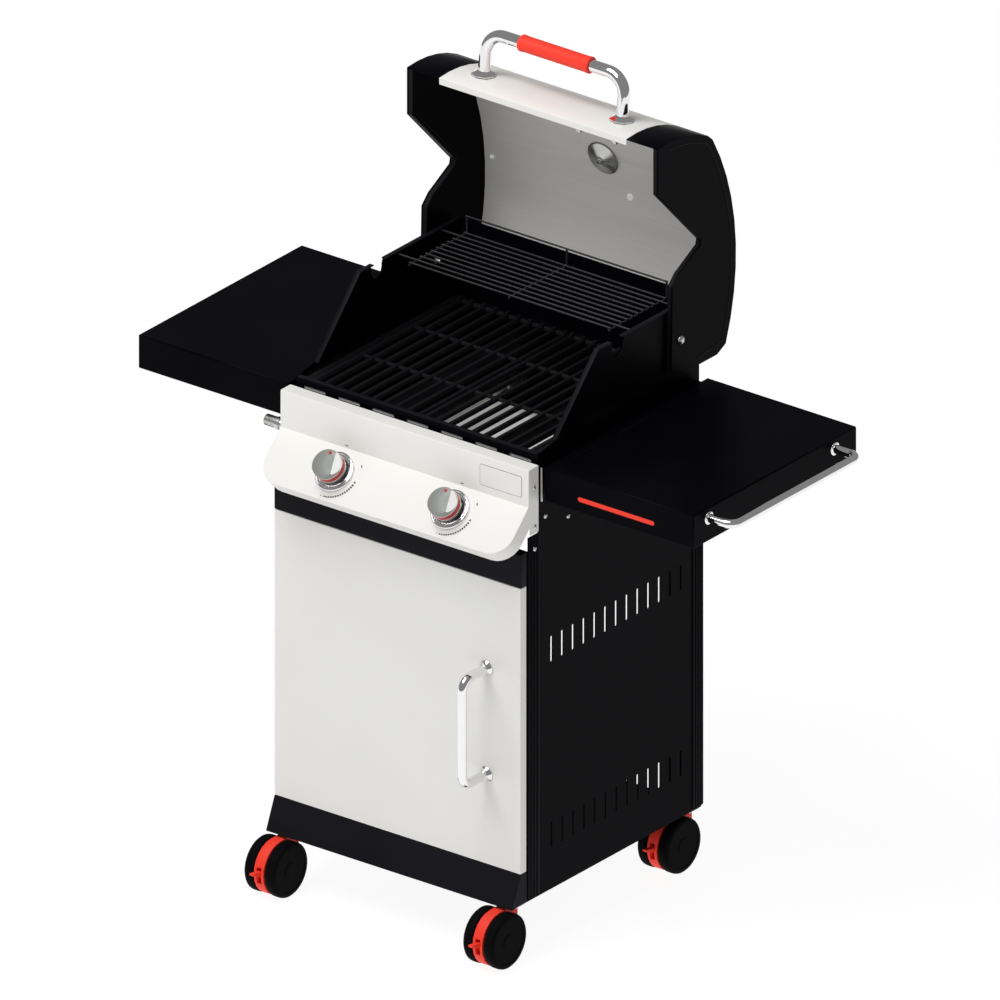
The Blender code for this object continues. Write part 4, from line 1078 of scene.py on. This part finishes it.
# %% Gas inlet
inlet_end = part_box("gas_manifold")[0].x
INLET_Y, INLET_Z = -0.212, 0.807
refine("gas_manifold", "zinc", 0.0004)
PITCH = 0.0022
profile = [(0.0045, 0.0), (0.0086, 0.0)]
THREADS = 9
for i in range(THREADS):
    profile += [(0.0098, (i + 0.5) * PITCH), (0.0086, (i + 1.0) * PITCH)]
profile += [
    (0.0086, 0.0230), (0.0112, 0.0236), (0.0112, 0.0310), (0.0080, 0.0316), (0.0045, 0.0316), (0.0045, 0.0),
]
thread = lathe(profile, (inlet_end, INLET_Y, INLET_Z), (1, 0, 0), 28)
put("inlet_thread", thread, "cabinet", "zinc")
bracket = block((0.2592, -0.2066, 0.8170), (0.2630, -0.2050, 0.8780), 0.0005)
put("shelf_bracket_edge", bracket, "cabinet", "zinc")
under = block((0.2700, -0.1950, 0.8600), (0.2980, 0.2250, 0.8612), 0.0004)
put("shelf_bracket_plate", under, "cabinet", "black_enamel")

# %% [markdown]
# ## Castors
# Two wheels turn on one axle on both sides of a red hood, which has the brake pedal at its front. The
# wheels are spun with round shoulders and a shallow hub. The hood and the pedal keep the frame's shape
# and get soft moulded edges.

# %% Castors
WHEEL = 0.048
HALF_GAP, HALF_WIDE = 0.011, 0.0315
tyre = [
    (0.0050, HALF_GAP), (0.0400, HALF_GAP), (0.0440, HALF_GAP + 0.0006), (0.0470, HALF_GAP + 0.0024),
    (WHEEL, HALF_GAP + 0.0055), (WHEEL, HALF_WIDE - 0.0062), (0.0473, HALF_WIDE - 0.0034),
    (0.0452, HALF_WIDE - 0.0012), (0.0418, HALF_WIDE), (0.0385, HALF_WIDE), (0.0376, HALF_WIDE - 0.0008),
    (0.0150, HALF_WIDE - 0.0008), (0.0142, HALF_WIDE), (0.0100, HALF_WIDE + 0.0002),
    (0.0, HALF_WIDE + 0.0004),
]
wheel_profile = [(radius, -height) for radius, height in reversed(tyre)] + tyre
for corner in ("front_left", "front_right", "rear_left", "rear_right"):
    low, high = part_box(f"{corner}_castor_wheels")
    wheels = lathe(wheel_profile, (low + high) / 2, (1, 0, 0), 72)
    body, node = f"{corner}_wheels", f"{corner}_castor_wheels"
    put(f"{corner}_tyres", wheels, body, "black_rubber", (node,))
    refine(f"{corner}_castor_hood", edge=0.0012, segments=3)
    refine(f"{corner}_brake_pedal", edge=0.0008, segments=3)
    refine(f"{corner}_castor_mount", "zinc", 0.0005)

# %% [markdown]
# ## Studio
# The studio is a light table: the floor glows, so it throws soft light up at every upright face and
# shows in the chrome from below, and there is hardly a shadow. The sky is a dim even grey, which gives
# the chrome its darker upper half. One large lamp, high in front, lights the tops and the sloping face.

# %% Floor, sky and lights
FLOOR_HALF, FLOOR_BELOW, FLOOR_GLOW, SKY = 8.0, 0.0006, 0.93, 0.24
floor_shape = bmesh.new()
bmesh.ops.create_grid(floor_shape, x_segments=1, y_segments=1, size=FLOOR_HALF)
bmesh.ops.translate(floor_shape, vec=(0.0, 0.0, -FLOOR_BELOW), verts=floor_shape.verts)
floor_mesh = bpy.data.meshes.new("floor")
floor_shape.to_mesh(floor_mesh)
floor_shape.free()
floor = bpy.data.objects.new("floor", floor_mesh)
bpy.context.scene.collection.objects.link(floor)
fixed = {"Specular IOR Level": 0.1, "Emission Color": (1, 1, 1, 1), "Emission Strength": FLOOR_GLOW}
shader, place = new_finish("floor", 0.0, fixed)
feed(shader, "Base Color", between(noise(place, 2.0), (0.14, 0.14, 0.14), (0.16, 0.16, 0.16)))
floor_mesh.materials.append(finishes["floor"])
floor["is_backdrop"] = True

world = bpy.data.worlds.new("sky")
world.use_nodes = True
world.node_tree.nodes["Background"].inputs["Color"].default_value = (1.0, 1.0, 1.0, 1.0)
world.node_tree.nodes["Background"].inputs["Strength"].default_value = SKY
bpy.context.scene.world = world


def soft_light(name, place, size, power):
    data = bpy.data.lights.new(name, "AREA")
    data.shape = "SQUARE"
    data.size = size
    data.energy = power
    light = bpy.data.objects.new(name, data)
    light.location = place
    light.rotation_euler = (CAMERA_AIM - Vector(place)).to_track_quat("-Z", "Y").to_euler()
    bpy.context.scene.collection.objects.link(light)


soft_light("key_light", (-0.6, -2.2, 5.1), 3.0, 200.0)
bpy.context.scene.view_settings.view_transform = "Standard"

# %% [markdown]
# ## The finished size
# The looks must not change the size of the grill, so the box of the finished model is printed.

# %% Sizes and the last line
low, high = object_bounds()
print("finished box", [round(v, 4) for v in low], [round(v, 4) for v in high])
